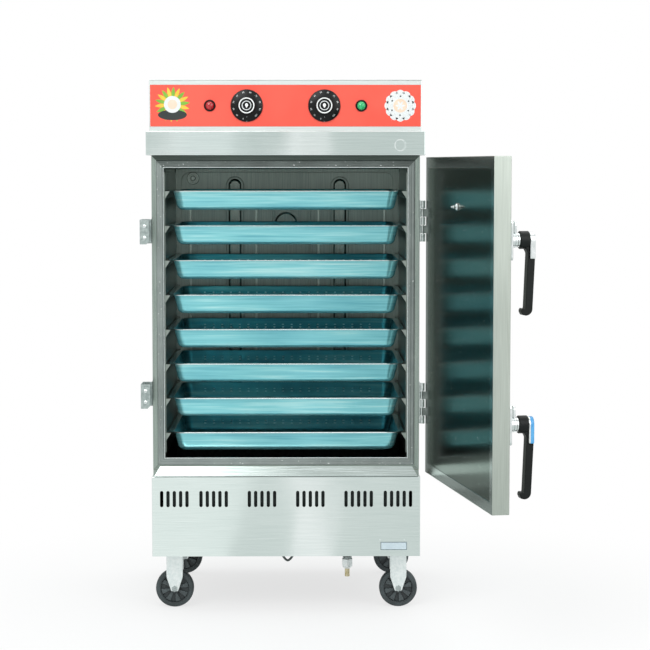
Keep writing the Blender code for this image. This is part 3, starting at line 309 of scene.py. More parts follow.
blueFilm = plastic("polyethyleneFilmBlue", "#58a9dd", "#3f92cd", (0.25, 0.45), 6 * mm, 0.15 * mm)
whitePrint = plastic("screenPrintedWhite", "#e9eeee", "#dde3e3", (0.4, 0.5))
inkYellow = plastic("vinylPrintYellow", "#f2d548", "#e6c133", (0.4, 0.5))
inkGreen = plastic("vinylPrintGreen", "#8cc63c", "#6fae34", (0.4, 0.5))
inkCream = plastic("vinylPrintCream", "#f6dcc6", "#efceb2", (0.4, 0.5))
inkDark = plastic("vinylPrintDark", "#23302f", "#182322", (0.4, 0.5))
lensRed = tintedLens("acrylicLensRed", "#e00a1c", "#8f0510")
lensGreen = tintedLens("acrylicLensGreen", "#23d987", "#0b9f5c")
seal = siliconeSeal("siliconeSeal", "#8e9794", "#7d8683")
# a darker copy of the seal for the seal's head: painted shade under the header's overhang
sealHeadPaintedShade = siliconeSeal("siliconeSealPaintedShade", "#666f6c", "#535b58")
# vinyl print on sheet: even coral red, a slight orange peel, rubbed a little duller in places
panelRed = makeFinish("printedPanelRed", [(130 * mm, 2.0), (1.6 * mm, 1.0)],
                      [(0.3, "#f8503c"), (0.7, "#ff5b47")], (0, 0.34, 0.5), [(1, 0.02 * mm)],
                      IOR=1.5, Coat_Weight=0.3, Coat_Roughness=0.2)
# stone wool slab: matted yellow-brown fibre
wool = makeFinish("mineralWool", [(3 * mm, 5.0, (1, 6, 1))], [(0.3, "#9c8b5c"), (0.7, "#c9ba8a")],
                  bumps=[(0, 1.2 * mm)], Roughness=0.95)
print("materials made")


# Mesh helpers
def meshFrom(bm):
    mesh = bpy.data.meshes.new("draft")
    bm.to_mesh(mesh)
    bm.free()
    return mesh


def evaluated(mesh, setUp):
    # the mesh as the modifiers that setUp adds leave it
    draft = bpy.data.objects.new("draft", mesh)
    bpy.context.scene.collection.objects.link(draft)
    setUp(draft)
    bpy.context.view_layer.update()
    made = bpy.data.meshes.new_from_object(draft.evaluated_get(bpy.context.evaluated_depsgraph_get()))
    bpy.data.objects.remove(draft)
    bpy.data.meshes.remove(mesh)
    return made


def modified(mesh, *steps):
    def setUp(draft):
        for kind, values in steps:
            step = draft.modifiers.new(kind, kind)
            for key, value in values.items():
                setattr(step, key, value)
    return evaluated(mesh, setUp)


def modifiedIn(mesh, finishes, *steps):
    # as modified, with the finishes in place, because a modifier keeps or sets their numbers only then
    for finish in finishes:
        mesh.materials.append(finish)
    made = modified(mesh, *steps)
    numbers = [face.material_index for face in made.polygons]
    made.materials.clear()
    made.polygons.foreach_set("material_index", numbers)
    return made


def frontFirst(mesh):
    # faces to the front take the first finish, a lighter copy of the steel that is a painted sheen (smoother
    # too on the header and skirt), and the others the second
    for face in mesh.polygons:
        face.material_index = 0 if face.normal.y < -0.7 else 1
    return mesh


def carved(mesh, cutters, operation="DIFFERENCE"):
    tools = [bpy.data.objects.new("tool", cutter) for cutter in cutters]
    for tool in tools:
        bpy.context.scene.collection.objects.link(tool)
    steps = [("BOOLEAN", {"object": tool, "operation": operation, "solver": "EXACT"}) for tool in tools]
    made = modified(mesh, *steps)
    for tool, cutter in zip(tools, cutters):
        bpy.data.objects.remove(tool)
        bpy.data.meshes.remove(cutter)
    return made


def moved(mesh, matrix):
    mesh.transform(matrix)
    if matrix.determinant() < 0:
        mesh.flip_normals()
    return mesh


def at(x, y, z):
    return Matrix.Translation((x, y, z))


def turned(angle, axis):
    return Matrix.Rotation(angle * degree, 4, axis)


upright = turned(90, "X")       # an outline drawn in XY then faces the front
toFront = upright               # a lathe's +Z then points to the front
toBack = turned(-90, "X")
mirrored = Matrix.Scale(-1, 4, (1, 0, 0))


def filleted(path, radius, steps=4, closed=False):
    # the path with each corner rounded off by about that radius
    made = []
    for i, here in enumerate(path):
        if not closed and i in (0, len(path) - 1):
            made.append(tuple(here))
            continue
        corner = Vector(here)
        before = Vector(path[i - 1]) - corner
        after = Vector(path[(i + 1) % len(path)]) - corner
        reach = min(radius, before.length * 0.45, after.length * 0.45)
        start = corner + before.normalized() * reach
        end = corner + after.normalized() * reach
        for step in range(steps + 1):
            t = step / steps
            made.append(tuple(start * (1 - t) ** 2 + corner * 2 * t * (1 - t) + end * t ** 2))
    return made


def arc(radius, start, end, step, x=0, y=0):
    # points round a circle, at whole degrees
    angles = [a * degree for a in range(start, end, step)]
    return [(x + radius * math.cos(a), y + radius * math.sin(a)) for a in angles]


def rounded(left, foot, right, head, radius, steps=4):
    # a rectangle with round corners
    return filleted([(left, foot), (right, foot), (right, head), (left, head)], radius, steps, True)


def cube(low, high):
    bm = bmesh.new()
    bmesh.ops.create_cube(bm, size=1)
    bmesh.ops.scale(bm, vec=Vector(high) - Vector(low), verts=bm.verts)
    bmesh.ops.translate(bm, vec=(Vector(low) + Vector(high)) / 2, verts=bm.verts)
    return bm


def block(low, high, edge=0.6, steps=2):
    # a plate or bar with every edge eased
    bm = cube(low, high)
    if edge:
        bmesh.ops.bevel(bm, geom=bm.edges[:], offset=edge, segments=steps, profile=0.5, affect="EDGES")
    return meshFrom(bm)


def cutPlate(outline, thickness, edge=0.5, steps=2):
    # a closed outline in XY, cut from plate, centred on z 0, its two rims eased
    bm = bmesh.new()
    ring = [bm.verts.new((x, y, -thickness / 2)) for x, y in outline]
    face = bm.faces.new(ring)
    grown = bmesh.ops.extrude_face_region(bm, geom=[face])
    top = [part for part in grown["geom"] if isinstance(part, bmesh.types.BMVert)]
    bmesh.ops.translate(bm, vec=(0, 0, thickness), verts=top)
    bmesh.ops.recalc_face_normals(bm, faces=bm.faces)
    if edge:
        bm.normal_update()
        rims = [e for e in bm.edges if abs(e.verts[0].co.z - e.verts[1].co.z) < 1e-7]
        bmesh.ops.bevel(bm, geom=rims, offset=edge, segments=steps, profile=0.5, affect="EDGES",
                        clamp_overlap=True)
    return meshFrom(bm)


def lathe(profile, steps=48, closed=False):
    # (radius, height) pairs, from the top down the outside, turned about Z
    bm = bmesh.new()
    rings = []
    for radius, height in profile:
        if radius < 1e-6:
            rings.append([bm.verts.new((0, 0, height))])
            continue
        angles = [2 * math.pi * step / steps for step in range(steps)]
        rings.append([bm.verts.new((radius * math.cos(a), radius * math.sin(a), height)) for a in angles])
    pairs = list(zip(rings, rings[1:]))
    if closed:
        pairs.append((rings[-1], rings[0]))
    for upper, lower in pairs:
        for step in range(steps):
            after = (step + 1) % steps
            corners = [upper[step % len(upper)], lower[step % len(lower)],
                       lower[after % len(lower)], upper[after % len(upper)]]
            corners = list(dict.fromkeys(corners))
            if len(corners) > 2:
                bm.faces.new(corners)
    bmesh.ops.recalc_face_normals(bm, faces=bm.faces)
    return meshFrom(bm)


def rod(radius, start, end, steps=24, edge=0.4):
    # a round bar between two points, its rims eased
    start = Vector(start)
    along = Vector(end) - start
    profile = [(0, along.length), (radius - edge, along.length), (radius, along.length - edge),
               (radius, edge), (radius - edge, 0), (0, 0)]
    mesh = lathe(profile, steps)
    return moved(mesh, Matrix.Translation(start) @ along.to_track_quat("Z", "Y").to_matrix().to_4x4())


def wire(points, radius, sides=12):
    # a round tube along points, capped
    bm = bmesh.new()
    points = [Vector(p) for p in points]
    rings = []
    side = None
    for i, point in enumerate(points):
        ahead = points[min(i + 1, len(points) - 1)] - points[max(i - 1, 0)]
        ahead.normalize()
        side = (side or ahead.orthogonal())
        side = (side - ahead * side.dot(ahead)).normalized()
        other = ahead.cross(side)
        angles = [2 * math.pi * step / sides for step in range(sides)]
        rings.append([bm.verts.new(point + (side * math.cos(a) + other * math.sin(a)) * radius)
                      for a in angles])
    for near, far in zip(rings, rings[1:]):
        for step in range(sides):
            after = (step + 1) % sides
            bm.faces.new((near[step], near[after], far[after], far[step]))
    bm.faces.new(rings[0])
    bm.faces.new(rings[-1])
    bmesh.ops.recalc_face_normals(bm, faces=bm.faces)
    return meshFrom(bm)


def sheetBox(low, high, wall, openSides, bend, rim=0, rimSide=None):
    # a folded sheet box without its open sides, its bends rounded; a rim leaves a flange round one of them
    bm = cube(low, high)
    facings = {"left": (-1, 0, 0), "right": (1, 0, 0), "front": (0, -1, 0), "back": (0, 1, 0),
               "bottom": (0, 0, -1), "top": (0, 0, 1)}
    for side in openSides:
        bm.normal_update()
        face = max(bm.faces, key=lambda f: f.normal.dot(Vector(facings[side])))
        if side == rimSide:
            bmesh.ops.inset_region(bm, faces=[face], thickness=rim, use_boundary=True, use_even_offset=True)
        bmesh.ops.delete(bm, geom=[face], context="FACES")
    return modified(meshFrom(bm), ("BEVEL", {"width": bend, "segments": 4, "limit_method": "ANGLE"}),
                    ("SOLIDIFY", {"thickness": wall, "offset": -1, "use_even_offset": True}))


def strip(path, length, wall, bend=1.5, offset=-1):
    # sheet folded along a path in XY, drawn out along Z
    bm = bmesh.new()
    line = filleted(path, bend)
    lower = [bm.verts.new((x, y, -length / 2)) for x, y in line]
    upper = [bm.verts.new((x, y, length / 2)) for x, y in line]
    for i in range(len(line) - 1):
        bm.faces.new((lower[i], lower[i + 1], upper[i + 1], upper[i]))
    return modified(meshFrom(bm),
                    ("SOLIDIFY", {"thickness": wall, "offset": offset, "use_even_offset": True}))


def frameOf(profile, half, lowZ, highZ, gap, closed=False):
    # four mitred members of one section, its profile as (inset from the outer edge, y); the uprights take
    # finish 0, the foot 1 and the head 2
    bm = bmesh.new()
    corners = ((-1, lowZ, 1), (1, lowZ, 1), (1, highZ, -1), (-1, highZ, -1))
    for index in range(4):
        ends = []
        along = ((1, 0), (0, 1), (-1, 0), (0, -1))[index]
        finish = (1, 0, 2, 0)[index]
        for corner, push in ((corners[index], 1), (corners[(index + 1) % 4], -1)):
            side, z, up = corner
            ends.append([bm.verts.new((side * (half - inset) + along[0] * push * gap, y,
                                       z + up * inset + along[1] * push * gap)) for inset, y in profile])
        pairs = [(i, i + 1) for i in range(len(profile) - 1)]
        if closed:
            pairs.append((len(profile) - 1, 0))
            bm.faces.new(ends[0]).material_index = finish
            bm.faces.new(ends[1][::-1]).material_index = finish
        for i, j in pairs:
            face = bm.faces.new((ends[0][i], ends[1][i], ends[1][j], ends[0][j]))
            face.material_index = finish
    if closed:
        bmesh.ops.recalc_face_normals(bm, faces=bm.faces)
    return meshFrom(bm)


def addPiece(name, parts, node, body="cabinet", crease=32):
    # joins (mesh, finish) pairs into one object at the origin, its place in its mesh, standing for a CAD node
    # or for none
    place = doorPlace if body.startswith(("door", "handle")) else cabinetPlace
    bm = bmesh.new()
    finishes = []
    for mesh, finish in parts:
        own = finish if isinstance(finish, tuple) else (finish,)
        start = len(bm.faces)
        bm.from_mesh(mesh)
        bm.faces.ensure_lookup_table()
        for face in bm.faces[start:]:
            used = own[min(face.material_index, len(own) - 1)]
            if used not in finishes:
                finishes.append(used)
            face.material_index = finishes.index(used)
        bpy.data.meshes.remove(mesh)
    mesh = moved(meshFrom(bm), place)
    mesh.shade_smooth()
    mesh.set_sharp_from_angle(angle=crease * degree)
    # normals by face area, so that a flat sheet mirrors flat up to its bends
    mesh = modifiedIn(mesh, finishes, ("WEIGHTED_NORMAL", {"keep_sharp": True}))
    mesh.name = name
    for finish in finishes:
        mesh.materials.append(finish)
    piece = bpy.data.objects.new(name, mesh)
    bpy.context.scene.collection.objects.link(piece)
    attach(piece, body)
    if node:
        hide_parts(node)
    return piece


# Geometry Nodes: each tree has named inputs and ends in Realize Instances and Set Material
def newTree(name, inputs):
    tree = bpy.data.node_groups.new(name, "GeometryNodeTree")
    tree.interface.new_socket("Geometry", in_out="INPUT", socket_type="NodeSocketGeometry")
    for label, kind in inputs.items():
        tree.interface.new_socket(label, in_out="INPUT", socket_type="NodeSocket" + kind)
    tree.interface.new_socket("Material", in_out="INPUT", socket_type="NodeSocketMaterial")
    tree.interface.new_socket("Geometry", in_out="OUTPUT", socket_type="NodeSocketGeometry")
    return tree, addNode(tree, "NodeGroupInput").outputs


def endTree(tree, geometry, given):
    real = addNode(tree, "GeometryNodeRealizeInstances", {"Geometry": geometry})
    painted = addNode(tree, "GeometryNodeSetMaterial", {"Geometry": real, "Material": given["Material"]})
    addNode(tree, "NodeGroupOutput", {"Geometry": painted})
    return tree


def grown(tree, mesh, **values):
    # the mesh that the tree makes of this one, its inputs set by their identifiers
    def setUp(draft):
        step = draft.modifiers.new(tree.name, "NODES")
        step.node_group = tree
        for item in tree.interface.items_tree:
            if item.item_type == "SOCKET" and item.in_out == "INPUT" and item.name in values:
                step[item.identifier] = values[item.name]
    made = evaluated(mesh, setUp)
    made.materials.clear()
    return made


def copyTree():
    # a small piece set on each point, turned as the point's own attribute says
    tree, given = newTree("copiesOnPoints", {"Piece": "Object"})
    piece = addNode(tree, "GeometryNodeObjectInfo", {"Object": given["Piece"]})
    turn = addNode(tree, "GeometryNodeInputNamedAttribute", {"Name": "turn"}, data_type="FLOAT_VECTOR")
    points = addNode(tree, "GeometryNodeMeshToPoints", {"Mesh": given["Geometry"]})
    copies = addNode(tree, "GeometryNodeInstanceOnPoints",
                     {"Points": points, "Instance": piece.outputs["Geometry"], "Rotation": turn})
    return endTree(tree, copies, given)


def perforationTree():
    # a flat floor inside the given outline, with rows of round holes punched through it
    tree, given = newTree("perforatedFloor", {"Columns": "Int", "Rows": "Int", "Pitch": "Float",
                                              "Hole": "Float", "Sides": "Int"})
    width = addNode(tree, "ShaderNodeMath", {0: given["Columns"], 1: 1}, operation="SUBTRACT")
    depth = addNode(tree, "ShaderNodeMath", {0: given["Rows"], 1: 1}, operation="SUBTRACT")
    sizeX = addNode(tree, "ShaderNodeMath", {0: width, 1: given["Pitch"]}, operation="MULTIPLY")
    sizeY = addNode(tree, "ShaderNodeMath", {0: depth, 1: given["Pitch"]}, operation="MULTIPLY")
    radius = addNode(tree, "ShaderNodeMath", {0: given["Hole"], 1: 0.5}, operation="MULTIPLY")
    grid = addNode(tree, "GeometryNodeMeshGrid",
                   {"Size X": sizeX, "Size Y": sizeY, "Vertices X": given["Columns"],
                    "Vertices Y": given["Rows"]})
    hole = addNode(tree, "GeometryNodeCurvePrimitiveCircle", {"Radius": radius, "Resolution": given["Sides"]})
    holes = addNode(tree, "GeometryNodeInstanceOnPoints", {"Points": grid, "Instance": hole})
    drawn = addNode(tree, "GeometryNodeRealizeInstances", {"Geometry": holes})
    edge = addNode(tree, "GeometryNodeMeshToCurve", {"Mesh": given["Geometry"]})
    both = addNode(tree, "GeometryNodeJoinGeometry", {0: edge})
    tree.links.new(drawn.outputs[0], both.inputs[0])
    floor = addNode(tree, "GeometryNodeFillCurve", {"Curve": both})
    return endTree(tree, floor, given)


def slotTree():
    # cutters for rows of upright slots with round ends, one row about each given point
    tree, given = newTree("slotCutters", {"Count": "Int", "Pitch": "Float", "Height": "Float",
                                          "Width": "Float", "Depth": "Float"})
    bar = addNode(tree, "GeometryNodeCurvePrimitiveQuadrilateral",
                  {"Width": given["Width"], "Height": given["Height"]})
    radius = addNode(tree, "ShaderNodeMath", {0: given["Width"], 1: 0.499}, operation="MULTIPLY")
    ends = addNode(tree, "GeometryNodeFilletCurve", {"Curve": bar, "Count": 5, "Radius": radius}, mode="POLY")
    face = addNode(tree, "GeometryNodeFillCurve", {"Curve": ends}, mode="NGONS")
    far = addNode(tree, "ShaderNodeCombineXYZ", {2: given["Depth"]})
    solid = addNode(tree, "GeometryNodeExtrudeMesh", {"Mesh": face, "Offset": far, "Individual": False,
                                                      "Offset Scale": 1.0})
    cap = addNode(tree, "GeometryNodeFlipFaces", {"Mesh": face})
    whole = addNode(tree, "GeometryNodeJoinGeometry", {0: solid})
    tree.links.new(cap.outputs[0], whole.inputs[0])
    closed = addNode(tree, "GeometryNodeMergeByDistance", {"Geometry": whole, "Distance": 0.01})
    step = addNode(tree, "ShaderNodeCombineXYZ", {0: given["Pitch"]})
    gaps = addNode(tree, "ShaderNodeMath", {0: given["Count"], 1: 1}, operation="SUBTRACT")
    half = addNode(tree, "ShaderNodeMath", {0: gaps, 1: -0.5}, operation="MULTIPLY")
    start = addNode(tree, "ShaderNodeVectorMath", {0: step, "Scale": half}, operation="SCALE")
    line = addNode(tree, "GeometryNodeMeshLine",
                   {"Count": given["Count"], "Start Location": start, "Offset": step})
    row = addNode(tree, "GeometryNodeInstanceOnPoints", {"Points": line, "Instance": closed})
    rows = addNode(tree, "GeometryNodeInstanceOnPoints", {"Points": given["Geometry"], "Instance": row})
    return endTree(tree, rows, given)


copiesOnPoints = copyTree()
perforatedFloor = perforationTree()
slotCutters = slotTree()


def pointsMesh(places, turns=()):
    mesh = bpy.data.meshes.new("points")
    mesh.from_pydata([tuple(p) for p in places], [], [])
    if turns:
        attribute = mesh.attributes.new("turn", "FLOAT_VECTOR", "POINT")
        attribute.data.foreach_set("vector", [value for turn in turns for value in turn])
    return mesh


def repeated(piece, places, turns, finish):
    # a copy of a small piece at each place; the piece itself is gone afterwards
    model = bpy.data.objects.new("model", piece)
    bpy.context.scene.collection.objects.link(model)
    made = grown(copiesOnPoints, pointsMesh(places, turns), Piece=model, Material=finish)
    bpy.data.objects.remove(model)
    bpy.data.meshes.remove(piece)
    return made


def alike(piece, places, finish, turn=(0, 0, 0)):
    # a copy at each place, all turned alike
    return repeated(piece, places, [turn] * len(places), finish)


def around(piece, count, radius, start, finish):
    # evenly round a ring, each copy's own Y pointing outwards
    angles = [start + 2 * math.pi * index / count for index in range(count)]
    places = [(radius * math.cos(angle), radius * math.sin(angle), 0) for angle in angles]
    return repeated(piece, places, [(0, 0, angle - math.pi / 2) for angle in angles], finish)


print("node trees made")


# Slack loop of cable that dips under the floor pan between its two holes
lead = {"x": 2.5, "y": 150, "spread": 48, "top": 161, "under": 140, "drop": 36,
        "points": 12, "power": 1.7, "radius": 3, "smooth": 4, "sides": 14}


def smoothLine(points, steps):
    # a curve through every point, by Catmull and Rom's rule
    points = [Vector(p) for p in points]
    line = []
    for i in range(len(points) - 1):
        a, b, c, d = points[max(i - 1, 0)], points[i], points[i + 1], points[min(i + 2, len(points) - 1)]
        for step in range(steps):
            t = step / steps
            line.append(((2 * b) + (c - a) * t + (2 * a - 5 * b + 4 * c - d) * t ** 2
                         + (3 * b - a - 3 * c + d) * t ** 3) / 2)
    return line + [points[-1]]


def makeLead():
    half = lead["spread"] / 2
    route = [(lead["x"] - half, lead["y"], lead["top"])]
    for step in range(lead["points"] + 1):
        share = 2 * step / lead["points"] - 1
        sag = 1 - abs(share) ** lead["power"]
        route.append((lead["x"] + half * share, lead["y"], lead["under"] - lead["drop"] * sag))
    route.append((lead["x"] + half, lead["y"], lead["top"]))
    path = smoothLine(route, lead["smooth"])
    tube = wire(path, lead["radius"], lead["sides"])
    piece = addPiece("loop_of_lead", [(tube, cableSheath)], "underfloor_lead", crease=60)


makeCamera()
makeLead()
print("camera and lead made")


def screwHead(radius, height, recess="cross", sink=0.4, steps=20):
    # a pan head standing on z 0, cut with a slot or a cross
    profile = [(0, height), (radius * 0.55, height * 0.96), (radius * 0.86, height * 0.66),
               (radius, height * 0.2), (radius, -sink), (0, -sink)]
    head = lathe(profile, steps)
    wide = radius * 0.17
    long = radius * (0.62 if recess == "cross" else 1.1)
    depth = height * 0.55
    bars = [block((-long, -wide, depth), (long, wide, height * 2), 0)]
    if recess == "cross":
        bars.append(block((-wide, -long, depth), (wide, long, height * 2), 0))
    return carved(head, bars)


faceFront = (math.pi / 2, 0, 0)
faceBack = (-math.pi / 2, 0, 0)
faceRight = (0, math.pi / 2, 0)
faceLeft = (0, -math.pi / 2, 0)

# Skirt round the base, with its vents and blank plate
skirt = {"sheet": 1.5, "flange": 14.5, "bend": 2.2, "slots": 5, "slotPitch": 16, "slotHeight": 41.5,
         "slotWidth": 8.5, "slotDrop": 57, "ventCentres": (61.25, 183.75, 283.25)}
plate = {"inner": 239.5, "outer": 306.5, "low": 160, "high": 180.5, "thick": 0.7,
         "rim": 1.6, "rivet": 1.9, "rivetRise": 5, "rivetOut": 1.5, "rivetIn": 6}


def makeSkirt():
    low, high = boxIn("base_skirt")
    ring = sheetBox(low, high, skirt["sheet"], ("bottom", "top"), skirt["bend"], skirt["flange"], "top")
    ventZ = high.z - skirt["slotDrop"]
    depth = skirt["sheet"] * 5
    centres = [(side * x, 0, 0) for x in skirt["ventCentres"] for side in (-1, 1)]
    cutter = grown(slotCutters, pointsMesh(centres), Count=skirt["slots"], Pitch=skirt["slotPitch"],
                   Height=skirt["slotHeight"], Width=skirt["slotWidth"], Depth=depth, Material=skirtSteel)
    cutter = moved(cutter, at(0, low.y + depth / 2, ventZ) @ upright)
    ring = carved(ring, [cutter])
    addPiece("skirt", [(frontFirst(ring), (skirtSteel, steelAcross))], "base_skirt")
    front = low.y
    face = block((plate["inner"], front - plate["thick"], plate["low"]),
                 (plate["outer"], front + 0.2, plate["high"]), 0.25)
    rim = plate["rim"]
    field = block((plate["inner"] + rim, front - plate["thick"] - 0.12, plate["low"] + rim),
                  (plate["outer"] - rim, front - plate["thick"] + 0.1, plate["high"] - rim), 0.05)
    rivet = lathe([(0, plate["rivet"] * 0.7), (plate["rivet"] * 0.7, plate["rivet"] * 0.5),
                   (plate["rivet"], 0), (plate["rivet"], -0.3), (0, -0.3)], 16)
    places = [(x, front, plate["high"] + plate["rivetRise"])
              for x in (plate["inner"] - plate["rivetOut"], plate["outer"] - plate["rivetIn"])]
    rivets = alike(rivet, places, chrome, faceFront)
    addPiece("rating_plate_blank", [(face, plateBorder), (field, plateField), (rivets, chrome)], None)


# Sloping ledge over the skirt
ledge = {"sheet": 1, "endSlope": 16, "bend": 1.2, "flange": 14.5}


def makeLedge():
    low, high = boxIn("drip_ledge")
    half = high.x
    rise = high.z - low.z
    line = filleted([(high.z, -0.3), (low.z + ledge["sheet"], low.y + 0.2),
                     (low.z + ledge["sheet"], high.y)], ledge["bend"])
    bm = bmesh.new()
    rows = []
    for z, y in line:
        reach = half - ledge["endSlope"] * (z - low.z) / rise
        rows.append((bm.verts.new((-reach, y, z)), bm.verts.new((reach, y, z))))
    for upper, lower in zip(rows, rows[1:]):
        bm.faces.new((upper[0], lower[0], lower[1], upper[1]))
    sheet = modified(meshFrom(bm), ("SOLIDIFY", {"thickness": ledge["sheet"], "offset": -1}))
    addPiece("drip_ledge_sheet", [(sheet, ledgeSteel)], "drip_ledge")


# Casing, back panel and their screws
casing = {"sheet": 1.2, "bend": 3}
backScrew = {"radius": 3.6, "height": 2, "inset": 16, "across": 4, "up": 6}


def makeCasing():
    low, high = boxIn("outer_casing")
    shell = sheetBox(low, high, casing["sheet"], ("front", "back", "bottom"), casing["bend"])
    addPiece("casing", [(shell, steelUp)], "outer_casing")
    low, high = boxIn("back_panel")
    panel = block(low, high, 0.4)
    inset = backScrew["inset"]
    places = []
    for column in range(backScrew["across"]):
        x = low.x + inset + (high.x - low.x - 2 * inset) * column / (backScrew["across"] - 1)
        for row in range(backScrew["up"]):
            z = low.z + inset + (high.z - low.z - 2 * inset) * row / (backScrew["up"] - 1)
            if column in (0, backScrew["across"] - 1) or row in (0, backScrew["up"] - 1):
                places.append((x, high.y, z))
    screws = alike(screwHead(backScrew["radius"], backScrew["height"]), places, chrome, faceBack)
    addPiece("back_sheet", [(panel, steelUp), (screws, chrome)], "back_panel")


# Pressed frame round the opening and the seal in its groove
jamb = {"strip": 12.5, "groove": 15.5, "lip": 2.5, "grooveDepth": 4, "return": 12, "sheet": 1.2,
        "bend": 0.8, "mitreGap": 0.18, "flapWide": 24, "flapInset": 0.4, "flapBack": 0.1}
sealShape = {"proud": 5.8, "side": 4.2, "valley": 4.4, "ridge": 2.2, "round": 1.1,
             "fit": 0.3, "mitreGap": 0.12}


def makeJamb():
    low, high = boxIn("door_jamb")
    outer, groove = jamb["strip"], jamb["strip"] + jamb["groove"]
    inner = groove + jamb["lip"]
    deep, rear = jamb["grooveDepth"], jamb["return"]
    path = [(0, rear), (0, 0), (outer, 0), (outer, deep), (groove, deep), (groove, 0), (inner, 0),
            (inner, rear)]
    members = frameOf(filleted(path, jamb["bend"], 3), high.x, low.z, high.z, jamb["mitreGap"])
    # the head member takes the darker copy of the frame steel, a painted shade
    finishes = (frameUp, frameAcross, frameTop, cutEdgeAndHighlight)
    members = modifiedIn(members, finishes, ("SOLIDIFY", {"thickness": jamb["sheet"], "offset": -1}))
    for face in members.polygons:       # the lip inside the seal takes the bright finish, a painted highlight
        x, y, z = face.center
        if min(high.x - abs(x), z - low.z, high.z - z) > groove:
            face.material_index = 3
    flaps = []
    for side in (-1, 1):
        near, far = side * (high.x - jamb["flapWide"]), side * (high.x - jamb["flapInset"])
        flaps.append((block((min(near, far), jamb["flapBack"], boxIn("drip_ledge")[0].z + jamb["flapInset"]),
                            (max(near, far), jamb["flapBack"] + jamb["sheet"], low.z - jamb["flapInset"]),
                            jamb["flapInset"] / 2), frameUp))
    addPiece("door_frame", [(members, finishes)] + flaps, "door_jamb")
    low, high = boxIn("door_seal")
    start = sealShape["fit"]
    end = jamb["groove"] - sealShape["fit"]
    middle = jamb["groove"] / 2
    side, proud, valley = -sealShape["side"], -sealShape["proud"], -sealShape["valley"]
    ridge = sealShape["ridge"]
    back = jamb["grooveDepth"] - sealShape["fit"]
    path = [(start, back), (start, side), (start + ridge, proud), (middle - ridge, proud), (middle, valley),
            (middle + ridge, proud), (end - ridge, proud), (end, side), (end, back)]
    path = [(inset - start, y) for inset, y in filleted(path, sealShape["round"], 3)]
    band = frameOf(path, high.x, low.z, high.z, sealShape["mitreGap"], closed=True)
    # the seal's head takes the darker copy of the seal, a painted shade
    addPiece("frame_seal", [(band, (seal, seal, sealHeadPaintedShade))], "door_seal")


# Chamber: liner, back plate with its pressed ribs and stub pipes, round boss and steam fitting
chamber = {"sheet": 1, "bend": 5, "plateHalf": 289, "plateTop": 13, "plateRound": 28, "plateProud": 2.5,
           "channelX": 143, "channelWidth": 49, "channelProud": 4, "channelTop": 1104, "pipeWidth": 35,
           "pipeProud": 7, "pipeTop": 1098, "ribs": (-37, 60), "highlightRibs": (-265, -85, 85, 265),
           "ribWidth": 7, "ribProud": 2.4, "ribTop": 1020, "bossX": -4, "bossZ": 976, "bossRadius": 31,
           "fittingX": -257, "fittingZ": 1099, "fittingRadius": 17, "foot": 3}


def archedBar(x, low, top, width, wallY, proud, edge):
    # a pressed bar on the back wall with a round head
    half = width / 2
    outline = [(half, low)] + arc(half, 0, 181, 12, 0, top - half) + [(-half, low)]
    bar = cutPlate(outline, proud * 2, edge, 4)
    return moved(bar, at(x, wallY, 0) @ upright)


def makeChamber():
    low, high = boxIn("chamber_liner")
    wall = high.y - chamber["sheet"]
    parts = [(sheetBox(low, high, chamber["sheet"], ("front", "bottom"), chamber["bend"]), chamberSteel)]
    floorZ = low.z + chamber["foot"]
    half = chamber["plateHalf"]
    outline = rounded(-half, floorZ, half, high.z - chamber["plateTop"], chamber["plateRound"], 8)
    backPlate = moved(cutPlate(outline, chamber["plateProud"] * 2, 1.2, 3), at(0, wall, 0) @ upright)
    parts.append((backPlate, chamberSteel))
    face = wall - chamber["plateProud"]
    for side in (-1, 1):
        x = side * chamber["channelX"]
        parts.append((archedBar(x, floorZ, chamber["channelTop"], chamber["channelWidth"], face,
                                chamber["channelProud"], 2.2), chamberSteel))
        parts.append((archedBar(x, floorZ, chamber["pipeTop"], chamber["pipeWidth"],
                                face - chamber["channelProud"], chamber["pipeProud"], 12), pipeSteel))
    # four of the ribs take the lighter copy as painted highlights
    for spots, finish in ((chamber["ribs"], chamberSteel), (chamber["highlightRibs"], ribHighlightSteel)):
        rib = archedBar(0, floorZ, chamber["ribTop"], chamber["ribWidth"], 0, chamber["ribProud"], 1.6)
        places = [(x, face, 0) for x in spots]
        parts.append((alike(rib, places, finish), finish))
    boss = lathe([(0, 0.8), (chamber["bossRadius"] * 0.84, 0.8), (chamber["bossRadius"] * 0.88, 1.8),
                  (chamber["bossRadius"] * 0.94, 2.2), (chamber["bossRadius"] * 0.98, 1.6),
                  (chamber["bossRadius"], 0), (0, -1)], 48)
    parts.append((moved(boss, at(chamber["bossX"], face, chamber["bossZ"]) @ toFront), chamberSteel))
    r = chamber["fittingRadius"]
    collar = lathe([(0, 9), (r * 0.32, 9), (r * 0.4, 7.5), (r * 0.44, 5), (r * 0.66, 5),
                    (r * 0.7, 2.5), (r * 0.92, 2.5), (r, 1.2), (r, 0), (0, -1)], 40)
    parts.append((moved(collar, at(chamber["fittingX"], face, chamber["fittingZ"]) @ toFront), pipeSteel))
    addPiece("chamber", parts, "chamber_liner")


# Runners pressed in the side sheets
runner = {"sheet": 2, "reach": 13.2, "slope": 18, "thickness": 1.2, "round": 0.5, "trayRim": 1.3}
trayCount = 8


